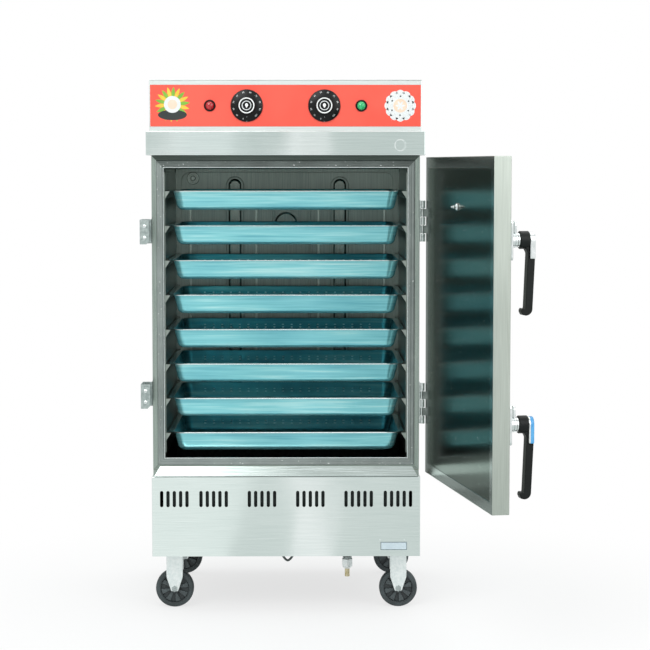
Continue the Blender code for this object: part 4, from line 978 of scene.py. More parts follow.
def makeRunners():
    top = boxIn("tray_1")[1].z
    pitch = top - boxIn("tray_2")[1].z
    for name, side in (("left", -1), ("right", 1)):
        low, high = boxIn(f"runner_rack_{name}")
        length = high.y - low.y
        wallX = high.x if side > 0 else -low.x
        sheet = block((wallX - runner["sheet"], low.y, low.z), (wallX, high.y, high.z), 0.3)
        tip = wallX - runner["reach"]
        foot = wallX - runner["sheet"] + 0.3
        shelfZ = top - runner["trayRim"]
        outline = filleted([(foot, shelfZ), (tip, shelfZ), (tip, shelfZ - runner["thickness"]),
                            (foot, shelfZ - runner["thickness"] - runner["slope"])], runner["round"], 3, True)
        shelf = moved(cutPlate(outline, length, 0.3, 1), at(0, low.y + length / 2, 0) @ upright)
        shelves = alike(shelf, [(0, 0, -pitch * index) for index in range(trayCount)], chamberSteel)
        parts = [(sheet, chamberSteel), (shelves, chamberSteel)]
        if side < 0:
            parts = [(moved(mesh, mirrored), finish) for mesh, finish in parts]
        addPiece(f"runners_{name}", parts, f"runner_rack_{name}")


# Trays: rolled rim, drawn walls and a floor punched with rows of holes
tray = {"wall": 1, "endFlange": 15.5, "sideFlange": 11, "corner": 45, "taper": 8, "wallCorner": 27,
        "footCorner": 24, "round": 15, "lipDrop": 2.2, "rimRound": 2.5, "columns": 20, "rows": 14,
        "pitch": 23.5, "hole": 6.5, "sides": 12, "cornerSteps": 9, "lipRise": 1.1, "lipWide": 0.7,
        "dots": (24, 31), "dotWide": 3.4, "dotHigh": 0.4}


def trayRing(halfX, halfY, radius, z):
    steps = tray["cornerSteps"]
    return [(sx * (halfX - radius) + radius * math.cos((start + 90 * i / steps) * degree),
             sy * (halfY - radius) + radius * math.sin((start + 90 * i / steps) * degree), z)
            for sx, sy, start in ((1, 1, 0), (-1, 1, 90), (-1, -1, 180), (1, -1, 270))
            for i in range(steps + 1)]


def trayMesh(halfX, halfY, height):
    corner = tray["corner"]
    inX, inY = halfX - tray["endFlange"], halfY - tray["sideFlange"]
    deep = height - tray["wall"]
    rings = [(halfX - 0.5, halfY - 0.5, corner, -tray["lipDrop"]), (halfX, halfY, corner, -0.8),
             (halfX - 0.8, halfY - 0.8, corner, 0)]
    r = tray["rimRound"]
    bend, footBend = tray["wallCorner"], tray["footCorner"]
    rings += [(inX + r, inY + r, bend + r * 0.6, 0), (inX + r * 0.3, inY + r * 0.3, bend + r * 0.2, -r * 0.3),
              (inX, inY, bend, -r)]
    taper, rounding = tray["taper"], tray["round"]
    wallFoot = deep - rounding
    rings.append((inX - taper, inY - taper, footBend, -wallFoot))
    for step in range(1, 6):
        a = step * 18 * degree
        inset = taper + rounding * (1 - math.cos(a))
        rings.append((inX - inset, inY - inset, footBend - rounding * (1 - math.cos(a)) * 0.6,
                      -wallFoot - rounding * math.sin(a)))
    bm = bmesh.new()
    loops = [[bm.verts.new(p) for p in trayRing(*ring)] for ring in rings]
    count = len(loops[0])
    for outer, inner in zip(loops, loops[1:]):
        for i in range(count):
            j = (i + 1) % count
            face = bm.faces.new((outer[i], outer[j], inner[j], inner[i]))
            face.material_index = 1 if outer is loops[0] or outer is loops[1] else 0
    walls = meshFrom(bm)
    edge = bpy.data.meshes.new("floorEdge")
    last = trayRing(*rings[-1])
    edge.from_pydata(last, [(i, (i + 1) % len(last)) for i in range(len(last))], [])
    floor = grown(perforatedFloor, edge, Columns=tray["columns"], Rows=tray["rows"], Pitch=tray["pitch"],
                  Hole=tray["hole"], Sides=tray["sides"], Material=filmed)
    for vertex in floor.vertices:
        vertex.co.z = rings[-1][3]
    bm = bmesh.new()
    bm.from_mesh(walls)
    bm.from_mesh(floor)
    bmesh.ops.remove_doubles(bm, verts=bm.verts, dist=0.01)
    bmesh.ops.recalc_face_normals(bm, faces=bm.faces)
    up = max(bm.faces, key=lambda f: f.calc_area()).normal.z
    if up < 0:
        bmesh.ops.reverse_faces(bm, faces=bm.faces)
    for mesh in (walls, floor):
        bpy.data.meshes.remove(mesh)
    sheet = ("SOLIDIFY", {"thickness": tray["wall"], "offset": -1, "material_offset_rim": 1})
    return modifiedIn(meshFrom(bm), (filmed, cutEdgeAndHighlight), sheet)


def makeTrays():
    low, high = boxIn("tray_1")
    half = (high - low) / 2
    model = trayMesh(half.x, half.y, high.z - low.z)
    floorZ = low.z - high.z + tray["wall"]
    hole, wide, rise = tray["hole"] / 2, tray["lipWide"], tray["lipRise"]
    lip = lathe([(hole, -0.3), (hole, rise), (hole + wide * 0.5, rise), (hole + wide, -0.3)],
                tray["sides"], True)
    across, along = tray["columns"] - 1, tray["rows"] - 1
    places = [((i - across / 2) * tray["pitch"], (j - along / 2) * tray["pitch"], floorZ)
              for i in range(across + 1) for j in range(along + 1)]
    lips = alike(lip, places, cutEdgeAndHighlight)
    # two lines of small pressed points along the rear wall, pale: painted glints of light
    dot = lathe([(0, 0.6), (tray["dotWide"] * 0.8, 0.5), (tray["dotWide"], -0.6), (0, -0.6)], 12)
    dot = moved(dot, Matrix.Diagonal((1, tray["dotHigh"], 1, 1)))
    wallFoot = high.z - low.z - tray["wall"] - tray["round"]
    top = half.y - tray["sideFlange"]
    places = []
    for rise in tray["dots"]:
        z = floorZ + rise
        y = top + tray["taper"] * (z + tray["rimRound"]) / (wallFoot - tray["rimRound"])
        places += [((i - across / 2) * tray["pitch"], y, z) for i in range(across + 1)]
    dots = alike(dot, places, paleDotGlint, faceFront)
    for number in range(1, trayCount + 1):
        low, high = boxIn(f"tray_{number}")
        middle = (low + high) / 2
        place = at(middle.x, middle.y, high.z)
        parts = [(moved(model.copy(), place), (filmed, cutEdgeAndHighlight)), (moved(lips.copy(), place), cutEdgeAndHighlight),
                 (moved(dots.copy(), place), paleDotGlint)]
        addPiece(f"steaming_tray_{number}", parts, f"tray_{number}", f"tray_{number}_body",
                 crease=40)
    for draft in (model, lips, dots):
        bpy.data.meshes.remove(draft)


# Header and control box
header = {"sheet": 1.2, "bend": 1.8, "rim": 34, "dimpleX": 286, "dimpleDrop": 34.8,
          "dimpleRadius": 15, "dimpleDepth": 0.4}
control = {"sheet": 1.2, "bend": 1.5, "sideMargin": 2.5, "foot": 11.2, "head": 10.5, "glandHole": 8.2}


def makeHeader():
    low, high = boxIn("header_canopy")
    shell = sheetBox(low, high, header["sheet"], ("bottom",), header["bend"], header["rim"], "bottom")
    x, z = header["dimpleX"], high.z - header["dimpleDrop"]
    r, deep = header["dimpleRadius"], header["dimpleDepth"]
    hole = rod(r, (x, low.y - 5, z), (x, low.y + 5, z), 48, 0)
    shell = carved(shell, [hole])
    wall = header["sheet"]
    dish = lathe([(0, -deep * 0.6), (r * 0.45, -deep * 0.65), (r * 0.72, -deep), (r * 0.9, -deep * 0.35),
                  (r, 0), (r, -wall), (r * 0.9, -deep * 0.35 - wall), (r * 0.72, -deep - wall),
                  (r * 0.45, -deep * 0.65 - wall), (0, -deep * 0.6 - wall)], 48)
    dish = moved(dish, at(x, low.y, z) @ toFront)
    parts = [(frontFirst(shell), (headerSteel, steelAcross)), (dish, headerSteel)]
    addPiece("header", parts, "header_canopy")
    low, high = boxIn("control_housing")
    box = sheetBox(low, high, control["sheet"], ("bottom", "top"), control["bend"])
    window = block((low.x + control["sideMargin"], low.y - 5, low.z + control["foot"]),
                   (high.x - control["sideMargin"], low.y + 5, high.z - control["head"]), 0)
    glandLow, glandHigh = boxIn("supply_gland")
    spot = (glandLow + glandHigh) / 2
    hole = rod(control["glandHole"], (spot.x, high.y - 5, spot.z), (spot.x, high.y + 5, spot.z), 32, 0)
    box = carved(box, [window, hole])
    addPiece("control_box", [(frontFirst(box), (housingSteel, steelAcross))], "control_housing")
    low, high = boxIn("control_lid")
    addPiece("control_box_lid", [(block(low, high, 0.5), steelAcross)], "control_lid")


makeSkirt()
makeLedge()
makeCasing()
makeJamb()
makeChamber()
makeRunners()
print("cabinet sheets made")
makeTrays()
print("trays made")
makeHeader()
print("header made")


# Printed control panel with its two lamps
panel = {"corner": 1.2, "edge": 0.35, "shaftHole": 3.6, "lampHole": 8.6, "print": 0.14,
         "lift": 0.08, "leftX": -282, "rightX": 286, "leftRise": 3}
knob = {"x": 96.7, "skirt": 40.2, "skirtHigh": 3.6, "collar": 30, "collarHigh": 7.2,
        "grip": 20.3, "high": 22.8, "ring": 19.6, "innerRing": 11.8, "ribs": 30,
        "marks": 33.6, "numeral": 3.9, "spacing": 30, "bore": 3.4, "boreDeep": 14}
lamp = {"x": 189, "bezel": 14.6, "bezelHigh": 4.2, "lens": 10.4, "lensHigh": 10.8,
        "stem": 7.9, "stemLong": 29.5, "gap": 0.3}


def ellipse(across, up, steps=36):
    return [(across * math.cos(2 * math.pi * i / steps), up * math.sin(2 * math.pi * i / steps))
            for i in range(steps)]


def petal(length, width):
    return [(width / 2 * math.sin(math.pi * t) * side, length * t)
            for side, row in ((1, range(0, 13)), (-1, range(11, 0, -1))) for t in [i / 12 for i in row]]


def makePanel():
    low, high = boxIn("control_fascia")
    middle = (low.z + high.z) / 2
    sheet = cutPlate(rounded(low.x, low.z, high.x, high.z, panel["corner"]), high.y - low.y, panel["edge"])
    sheet = moved(sheet, at(0, (low.y + high.y) / 2, 0) @ upright)
    tools = []
    for x, radius in ((knob["x"], panel["shaftHole"]), (lamp["x"], panel["lampHole"])):
        for side in (-1, 1):
            tools.append(rod(radius, (side * x, low.y - 5, middle), (side * x, high.y + 5, middle), 24, 0))
    parts = [(carved(sheet, tools), panelRed)]
    # each print as outline, ring (count, radius, start) or none, x, rise from the middle, layer and ink; on
    # the left a rosette of leaves round a white disc, on the right a scalloped white medallion
    left, right, rise = panel["leftX"], panel["rightX"], panel["leftRise"]
    prints = [(petal(31, 9), (9, 13, 0.1), left, rise, 0, inkGreen),
              (petal(31, 9), (9, 13, math.pi / 9 + 0.1), left, rise, 1, inkYellow),
              (ellipse(36, 13), None, left, rise - 26, 2, inkDark),
              (ellipse(21, 21), None, left, rise, 3, whitePrint),
              (ellipse(12, 12), None, left, rise, 4, inkCream),
              (ellipse(11.5, 11.5, 24), (12, 28, 0), right, 0, 0, whitePrint),
              (ellipse(31, 31, 48), None, right, 0, 1, whitePrint),
              (ellipse(17, 17), None, right, 0, 2, inkCream),
              (ellipse(2, 2, 16), (6, 23.5, 0.5), right, 0, 2, inkDark),
              (petal(13, 5), (6, 0, 0), right, 0, 3, whitePrint)]
    for outline, ring, x, up, layer, ink in prints:
        mesh = cutPlate(outline, panel["print"], 0)
        if ring:
            mesh = around(mesh, *ring, ink)
        parts.append((moved(mesh, at(x, low.y - panel["lift"] * (layer + 0.5), middle + up) @ upright), ink))
    addPiece("control_panel", parts, "control_fascia")
    for name, side, lens in (("red", -1, lensRed), ("green", 1, lensGreen)):
        r, rim, brim, crown = lamp["lens"], lamp["bezel"], lamp["bezelHigh"], lamp["lensHigh"]
        gap = lamp["gap"]
        bezel = lathe([(r + 0.2, gap), (r + 0.2, brim - 0.8), (r + 0.9, brim), (rim - 1.6, brim),
                       (rim - 0.5, brim - 0.8), (rim, brim - 2), (rim, gap)], 48, True)
        curve = [(r * x, brim + (crown - brim) * y) for x, y in arc(1, 90, -1, -10)]
        dome = lathe(curve + [(r, gap + 0.2), (0, gap + 0.2)], 48)
        stem = lathe([(0, gap), (lamp["stem"], gap), (lamp["stem"], -lamp["stemLong"] + 1),
                      (lamp["stem"] - 1, -lamp["stemLong"]), (0, -lamp["stemLong"])], 32)
        place = at(side * lamp["x"], low.y, middle) @ toFront
        addPiece(f"pilot_lamp_{name}", [(moved(bezel, place), blackKnob), (moved(dome, place), lens),
                                        (moved(stem, place), blackKnob)], f"lamp_{name}")


# Knobs: moulded skirt with a ring of numerals, ribbed grip, two bright rings and a pointer
def digits(text, high):
    curve = bpy.data.curves.new("digits", "FONT")
    curve.body = text
    curve.size = high * 1.4
    curve.align_x, curve.align_y = "CENTER", "CENTER"
    curve.extrude = 0.05
    curve.resolution_u = 3
    draft = bpy.data.objects.new("digits", curve)
    bpy.context.scene.collection.objects.link(draft)
    bpy.context.view_layer.update()
    made = bpy.data.meshes.new_from_object(draft.evaluated_get(bpy.context.evaluated_depsgraph_get()))
    bpy.data.objects.remove(draft)
    bpy.data.curves.remove(curve)
    made.materials.clear()
    return made


def makeKnob(name, side, count, step):
    low, high = boxIn(f"{name}_knob")
    place = at(side * knob["x"], high.y, (low.z + high.z) / 2) @ toFront
    k = knob
    skirt = [(0, k["high"]), (k["grip"] - 2, k["high"]), (k["grip"] - 0.6, k["high"] - 0.5),
             (k["grip"], k["high"] - 1.8), (k["grip"] + 0.5, k["collarHigh"] + 3),
             (k["grip"] + 2, k["collarHigh"] + 1.2), (k["collar"] - 1, k["collarHigh"] + 0.3),
             (k["collar"], k["collarHigh"] - 0.4), (k["skirt"] - 1, k["skirtHigh"] + 0.3),
             (k["skirt"], k["skirtHigh"] - 0.7), (k["skirt"], 0), (k["bore"], 0), (k["bore"], k["boreDeep"]),
             (0, k["boreDeep"])]
    parts = [(lathe(skirt, 72), blackKnob)]
    rib = block((-0.7, -0.6, k["collarHigh"] + 2.5), (0.7, 0.5, k["high"] - 1.5), 0.3)
    parts.append((around(rib, k["ribs"], k["grip"], 0, blackKnob), blackKnob))
    top = k["high"]
    for outer, wide in ((k["ring"], 2.7), (k["innerRing"], 1.9)):
        ring = [(outer - wide, top - 0.2), (outer - wide, top + 0.15), (outer - wide + 0.3, top + 0.2),
                (outer - 0.3, top + 0.2), (outer, top + 0.15), (outer, top - 0.2)]
        parts.append((lathe(ring, 64, True), whitePrint if wide < 2 else dialSilver))
    arrow = [(0, -7), (4.2, 0.6), (2.6, 4.6), (0, 5.6), (-2.6, 4.6), (-4.2, 0.6)]
    parts.append((moved(cutPlate(filleted(arrow, 1.2, 3, True), 0.5, 0.15), at(0, 0, top)), dialSilver))
    for outer, inner, lift in ((28.6, 25, k["collarHigh"] + 0.25), (39.4, 36.6, k["skirtHigh"] + 0.35)):
        parts.append((block((-0.9, -outer, lift), (0.9, -inner, lift + 0.2), 0.05), whitePrint))
    slope = (k["collarHigh"] - k["skirtHigh"]) / (k["skirt"] - k["collar"])
    for index in range(count):
        way = (-90 - k["spacing"] * (index + 0.5 + (11 - count) / 2)) * degree
        spot = at(k["marks"] * math.cos(way), k["marks"] * math.sin(way),
                  k["collarHigh"] - slope * (k["marks"] - k["collar"]) + 0.25)
        tilt = Matrix.Rotation(way - math.pi / 2, 4, "Z") @ Matrix.Rotation(-math.atan(slope), 4, "X")
        parts.append((moved(digits(str(index * step), k["numeral"]), spot @ tilt), whitePrint))
    parts = [(moved(mesh, place), finish) for mesh, finish in parts]
    addPiece(f"{name}_dial_knob", parts, f"{name}_knob", f"{name}_dial", 28)


# Latch keepers on the left side
keeper = {"sheet": 2, "bend": 2.4, "corner": 8, "screw": 5, "screwHigh": 3, "tailScrew": 3.6,
          "tailScrewHigh": 2.2, "tailInset": 14, "spread": 28, "rear": 1, "clear": 1}


def makeKeeper(word):
    low, high = boxIn(f"keeper_{word}")
    sheet = keeper["sheet"]
    plateY = low.y + sheet
    inner, rear = low.x + sheet, -keeper["rear"]
    path = [(high.x, high.y), (high.x, rear), (inner, rear), (inner, plateY),
            (high.x - keeper["clear"], plateY)]
    bracket = strip(path, high.z - low.z, sheet, keeper["bend"], 1)
    middle = (low.z + high.z) / 2
    bracket = moved(bracket, at(0, 0, middle))
    size = keeper["corner"]
    x, z = high.x - keeper["clear"], low.z
    wedge = cutPlate([(x - size, z - 1), (x + 1, z - 1), (x + 1, z + size)], sheet * 4, 0)
    bracket = carved(bracket, [moved(wedge, at(0, plateY, 0) @ upright)])
    bracket = modified(bracket, ("BEVEL", {"width": 0.25, "segments": 2, "angle_limit": 50 * degree}))
    x = (low.x + high.x) / 2
    places = [(x, low.y, middle + side * keeper["spread"] / 2) for side in (-1, 1)]
    heads = alike(screwHead(keeper["screw"], keeper["screwHigh"], "slot"), places, chrome, faceFront)
    tailX = high.x - sheet
    tails = [(tailX, high.y - keeper["tailInset"], middle + side * keeper["spread"] / 2) for side in (-1, 1)]
    tailHeads = alike(screwHead(keeper["tailScrew"], keeper["tailScrewHigh"]), tails, chrome, faceLeft)
    addPiece(f"latch_keeper_{word}", [(bracket, keeperZinc), (heads, chrome), (tailHeads, chrome)],
             f"keeper_{word}")


# Butt hinges of five knuckles
hinge = {"x": 345, "y": -1, "barrel": 5.8, "knuckles": 5, "gap": 1.1, "edge": 0.7, "pin": 2.3, "pinEnd": 0.9,
         "screw": 3.4, "leafGap": 0.3, "leaf": 2.8}


def knuckleOutline(leafLow, leafHigh, way):
    # the leaf's end and its curl round the pin, way -1 for the door leaf, whose sheet comes from the front
    r, x, y = hinge["barrel"], hinge["x"], hinge["y"]
    curl = [(x + r * math.cos(a * degree), y + way * r * math.sin(a * degree)) for a in range(206, 514, 14)]
    far = y + way * (r + 2.2)
    return [(leafLow, far), (leafLow, y - way * 1.6)] + curl + [(leafHigh, y + way * 3.6), (leafHigh, far)]


def makeHinge(word):
    for owner, way, place, body in (("frame", 1, cabinetPlace, "cabinet"), ("door", -1, doorPlace, "door")):
        low, high = boxIn(f"hinge_{owner}_leaf_{word}", place)
        leafLow, leafHigh = low.x, low.x + hinge["leaf"]
        step = (high.z - low.z) / hinge["knuckles"]
        start = hinge["y"] + way * (hinge["barrel"] + hinge["leafGap"])
        far = high.y if way > 0 else low.y
        leaf = block((leafLow, min(start, far), low.z), (leafHigh, max(start, far), high.z), 0.4)
        curl = cutPlate(knuckleOutline(leafLow, leafHigh, way), step - hinge["gap"], hinge["edge"])
        knuckles = range(0 if way > 0 else 1, hinge["knuckles"], 2)
        curls = alike(curl, [(0, 0, low.z + step * (number + 0.5)) for number in knuckles], hingeSteel)
        mid = (start + far) / 2 + way * 2
        spots = [(leafHigh, mid + shift * 5, (low.z + high.z) / 2 + rise * step * 1.7)
                 for rise, shift in ((-1, -1), (0, 1), (1, -1))]
        heads = alike(screwHead(hinge["screw"], 1.5), spots, chrome, faceRight)
        parts = [(leaf, hingeSteel), (curls, hingeSteel), (heads, chrome)]
        if way > 0:
            cap = hinge["pinEnd"]
            pin = [(0, high.z), (hinge["pin"] * 0.6, high.z - 0.1), (hinge["pin"], high.z - cap),
                   (hinge["pin"], low.z + cap), (hinge["pin"] * 0.6, low.z + 0.1), (0, low.z)]
            parts.append((moved(lathe(pin, 20), at(hinge["x"], hinge["y"], 0)), chrome))
        addPiece(f"hinge_{owner}_side_{word}", parts, f"hinge_{owner}_leaf_{word}", body)


# Door: folded outer pan, inner panel with its border strip, vent valve
door = {"sheet": 1.2, "bend": 2, "border": 25, "recess": 0.55, "mitreGap": 0.12, "plug": 13, "plugDeep": 0.5,
        "crease": 0.5, "innerGap": 0.25, "valveHole": 4.7, "valveGap": 0.35}


def makeDoor():
    low, high = boxIn("door_outer_pan", doorPlace)
    pan = sheetBox(low, high, door["sheet"], ("back",), door["bend"])
    x, y = low.x, (low.y + high.y) / 2
    tool = rod(door["plug"], (x - 5, y, low.z + 3), (x + door["plugDeep"], y, low.z + 3), 40, 0)
    pan = carved(pan, [tool])
    addPiece("door_pan", [(pan, doorSteel)], "door_outer_pan", "door")
    low, high = boxIn("door_inner_panel", doorPlace)
    middle = (low.x + high.x) / 2
    half = (high.x - low.x) / 2
    wide, deep = door["border"], door["recess"]
    # drawn facing the front like the frame, then turned about to face the chamber
    path = [(0, -low.y), (0, -high.y), (wide - 0.6, -high.y), (wide, -high.y + deep)]
    path = filleted(path, door["crease"], 3) + [(wide, -low.y)]
    border = frameOf(path, half, low.z, high.z, door["mitreGap"], closed=True)
    border = moved(border, at(middle, 0, 0) @ Matrix.Scale(-1, 4, (0, 1, 0)))
    inner = wide + door["innerGap"]
    sheet = block((low.x + inner, low.y, low.z + inner),
                  (high.x - inner, high.y - deep * 0.6, high.z - inner), 0.2)
    valveLow, valveHigh = boxIn("door_vent_valve", doorPlace)
    x, z = (valveLow.x + valveHigh.x) / 2, (valveLow.z + valveHigh.z) / 2
    hole = rod(door["valveHole"], (x, low.y - 5, z), (x, high.y + 5, z), 32, 0)
    sheet = carved(sheet, [hole])
    addPiece("door_mirror_panel", [(sheet, mirror), (border, mirrorEdge)], "door_inner_panel",
             "door")
    gap = door["valveGap"]
    flange = lathe([(0, 5), (6.5, 5), (7.4, 4.2), (7.8, 2.4), (9.3, 1.8), (9.4, gap), (0, gap)], 40)
    post = rod(4.1, (0, 0, -19.5), (0, 0, 11), 24, 0.6)
    tip = lathe([(0, 14.8), (2.2, 14.4), (2.6, 13.4), (2.6, 10), (0, 10)], 20)
    wing = [(2.5, -2), (8, -2.6), (14, 0.6), (15.6, 4.6), (13.5, 7), (9.5, 5.6), (4.5, 3)]
    outline = wing + [(-a, b) for a, b in wing[::-1]]
    wings = moved(cutPlate(filleted(outline, 1.6, 4, True), 2.8, 0.7), at(0, 0, 7.5) @ upright)
    place = at(x, high.y, z) @ toBack
    parts = [(moved(mesh, place), chrome) for mesh in (flange, post, tip, wings)]
    addPiece("vent_wing_valve", parts, "door_vent_valve", "door")


makePanel()
makeKnob("timer", -1, 11, 10)
makeKnob("thermostat", 1, 11, 10)
for word in ("upper", "lower"):
    makeKeeper(word)
    makeHinge(word)
makeDoor()
print("panel, hinges and door made")


# Door handles: fixed base plate, chrome spindle with its latch tongue and cap, moulded grip
handle = {"plateRound": 8, "plateEdge": 1.4, "screw": 3.3, "screwInset": 8.5, "hole": 6.6, "barrel": 17,
          "barrelLong": 18, "start": -52.3, "stub": 6, "stubLong": 5.6, "tongueLong": 42, "tongueWide": 19,
          "tongueThick": 5.2, "standoff": 6.1, "core": 9, "coreHole": 9.4, "hub": 20, "hubLong": 21.3,
          "gap": 0.3, "capThick": 12.4, "capWide": 36, "capDrop": 41.5, "film": 0.2, "wide": 26,
          "long": 167, "thick": 16, "neckReach": 4.5, "neckDrop": 8.5, "lean": 5, "toeReach": 10,
          "toeDeep": 9, "heel": 15, "edge": 2.2, "dot": 1.7, "dots": 6, "dotDrop": 48, "dotStep": 21}


def capOutline(grow=0):
    half = handle["capWide"] / 2 + grow
    drop = handle["capDrop"]
    foot = filleted([(-half, 0), (-half, -drop), (half, -drop), (half, 0)], 3, 4)
    return arc(half, 0, 181, 10) + foot[1:-1]


def gripOutline():
    # from the side: out from the door along X, up along Y, the heel round and the toe bent to the door
    h = handle
    hubBack = h["barrelLong"] + h["gap"]
    hubFront = hubBack + h["hubLong"]
    outer = hubFront + h["gap"] + h["capThick"]
    inner = outer - h["thick"] - h["gap"]
    low = -h["long"]
    body = [(hubFront, 0), (inner - h["neckReach"], 0), (inner - h["neckReach"], -h["hub"]),
            (inner, -h["hub"] - h["neckDrop"]), (inner - h["lean"], h["heel"] - h["long"])]
    toe = inner - h["lean"] - h["toeReach"]
    hook = [(toe + 2.4, low + h["heel"] + 1.5), (toe, low + h["toeDeep"]), (toe + 4, low + 1.5)]
    heel = arc(h["heel"], 270, 361, 10, outer - h["lean"] - h["heel"], low + h["heel"])
    foot = -h["capDrop"] - h["gap"]
    outline = filleted(body[2:] + hook, 3, 3) + heel + [(outer, foot), (hubFront, foot)]
    return body[:2] + outline


def makeHandle(word):
    low, high = boxIn(f"handle_base_{word}", doorPlace)
    x, z = (low.x + high.x) / 2, (low.z + high.z) / 2
    h = handle
    outline = rounded(low.x, low.z, high.x, high.z, h["plateRound"], 6)
    base = cutPlate(outline, high.y - low.y, h["plateEdge"], 3)
    base = moved(base, at(0, (low.y + high.y) / 2, 0) @ upright)
    base = carved(base, [rod(h["hole"], (x, low.y - 5, z), (x, high.y + 5, z), 32, 0)])
    inset = h["screwInset"]
    places = [(px, low.y + 0.2, pz) for px in (low.x + inset, high.x - inset)
              for pz in (low.z + inset, high.z - inset)]
    heads = alike(screwHead(h["screw"], 2), places, chrome, faceFront)
    parts = [(base, chrome), (heads, chrome)]
    addPiece(f"handle_plate_{word}", parts, f"handle_base_{word}", "door")
    start = h["start"]
    place = at(x, start, z) @ toFront
    r, far = h["barrel"], h["barrelLong"]
    barrel = lathe([(0, far), (r - 2, far), (r - 1.2, far - 0.8), (r - 1.2, far - 4),
                    (r, far - 5.4), (r, far - 10), (r - 1.6, far - 10.6),
                    (r - 1.6, far - 12), (r, far - 12.6), (r, 0.8), (r - 0.8, 0), (0, 0)], 56)
    stub = rod(h["stub"], (0, 0, -h["stubLong"]), (0, 0, 2), 28, 0.5)
    core = rod(h["core"], (0, 0, far - 1), (0, 0, far + h["hubLong"] + 4), 32, 0.4)
    half = h["tongueWide"] / 2
    reach = h["tongueLong"] - half
    tongue = arc(half, 0, 181, 15, 0, reach) + [(-half, 0), (half, 0)]
    tongue = cutPlate(tongue, h["tongueThick"], 1.2, 3)
    tongue = moved(tongue, at(x, start - h["standoff"] - h["tongueThick"] / 2, z) @ upright)
    capBack = start - far - h["hubLong"] - 2 * h["gap"]
    capFront = capBack - h["capThick"]
    wrapped = word == "lower"
    skin = h["film"] if wrapped else 0
    cap = moved(cutPlate(capOutline(-skin), h["capThick"] - skin, 2, 3),
                at(x, (capBack + capFront + skin) / 2, z) @ upright)
    parts = [(moved(mesh, place), chrome) for mesh in (barrel, stub, core)]
    parts += [(tongue, chrome), (cap, chrome)]
    if wrapped:
        deep = h["capThick"] * 0.78
        film = moved(cutPlate(capOutline(), deep, 2, 3), at(x, capFront + deep / 2, z) @ upright)
        parts.append((film, blueFilm))
    addPiece(f"handle_shaft_{word}", parts, f"handle_spindle_{word}", f"handle_{word}")
    near = far + h["gap"]
    hub = [(0, near + h["hubLong"]), (h["hub"] - 1.2, near + h["hubLong"]),
           (h["hub"], near + h["hubLong"] - 1.2), (h["hub"], near + 1.2), (h["hub"] - 1.2, near), (0, near)]
    hub = moved(lathe(hub, 56), place)
    side = cutPlate(gripOutline(), h["wide"], h["edge"], 3)
    side = moved(side, at(x, start, z) @ turned(-90, "Z") @ upright)
    grip = carved(hub, [side], "UNION")
    grip = carved(grip, [rod(h["coreHole"], (x, start, z), (x, start - near - h["hubLong"] - 2, z), 40, 0)])
    middle = start - (near + h["hubLong"] + h["gap"] + h["capThick"]) + h["thick"] / 2
    last = h["dots"] - 1
    dots = [(x - h["wide"] / 2, middle + h["lean"] * n / last, z - h["dotDrop"] - h["dotStep"] * n)
            for n in range(h["dots"])]
    dot = lathe([(0, 0.25), (h["dot"] - 0.3, 0.25), (h["dot"], 0), (0, -0.3)], 16)
    marks = alike(dot, dots, blackGrip, faceLeft)
    parts = [(grip, blackGrip), (marks, blackGrip)]
    addPiece(f"handle_lever_{word}", parts, f"handle_grip_{word}", f"handle_{word}", 38)


# Castors: pressed forks, wheels with a tyre and a web of raised wedges
castor = {"plate": 3, "long": 82, "wide": 62, "corner": 6, "bolt": 5.6, "boltHigh": 4, "boltX": 32,
          "boltY": 22, "sheet": 2.5, "legY": 18.25, "half": 20.85, "shoulder": 30.5, "tip": 8.75,
          "below": 6.5, "axle": 6, "nut": 8, "nutHigh": 3.5, "cup": 20, "cupHigh": 11, "pin": 5,
          "pinLow": 124.3, "edge": 0.55, "trail": 28, "crownLap": 1.5, "rearCorner": 3}
wheel = {"radius": 48.78, "half": 15, "tyre": 38.4, "web": 6, "hub": 13.5, "bore": 6.3, "wedges": 8,
         "wedgeIn": 12.5, "wedgeOut": 37.6, "wedgeThick": 23, "wedgeAngle": 11.5, "wedgeStart": 0.26}


def nut(radius, height):
    # a hexagon nut or head standing on z 0, its top corners turned off
    body = moved(cutPlate(arc(radius, 30, 390, 60), height, 0.35), at(0, 0, height / 2))
    dome = lathe([(0, height + 0.6), (radius * 0.5, height + 0.5), (radius * 0.62, height - 0.2),
                  (0, height - 0.2)], 20)
    return carved(body, [dome], "UNION")


def boltHeads(x, y, z):
    spots = [(x + sx * castor["boltX"], y + sy * castor["boltY"], z) for sx in (-1, 1) for sy in (-1, 1)]
    heads = alike(nut(castor["bolt"], castor["boltHigh"]), spots, yellowZinc, (math.pi, 0, 0))
    return [(heads, yellowZinc)]


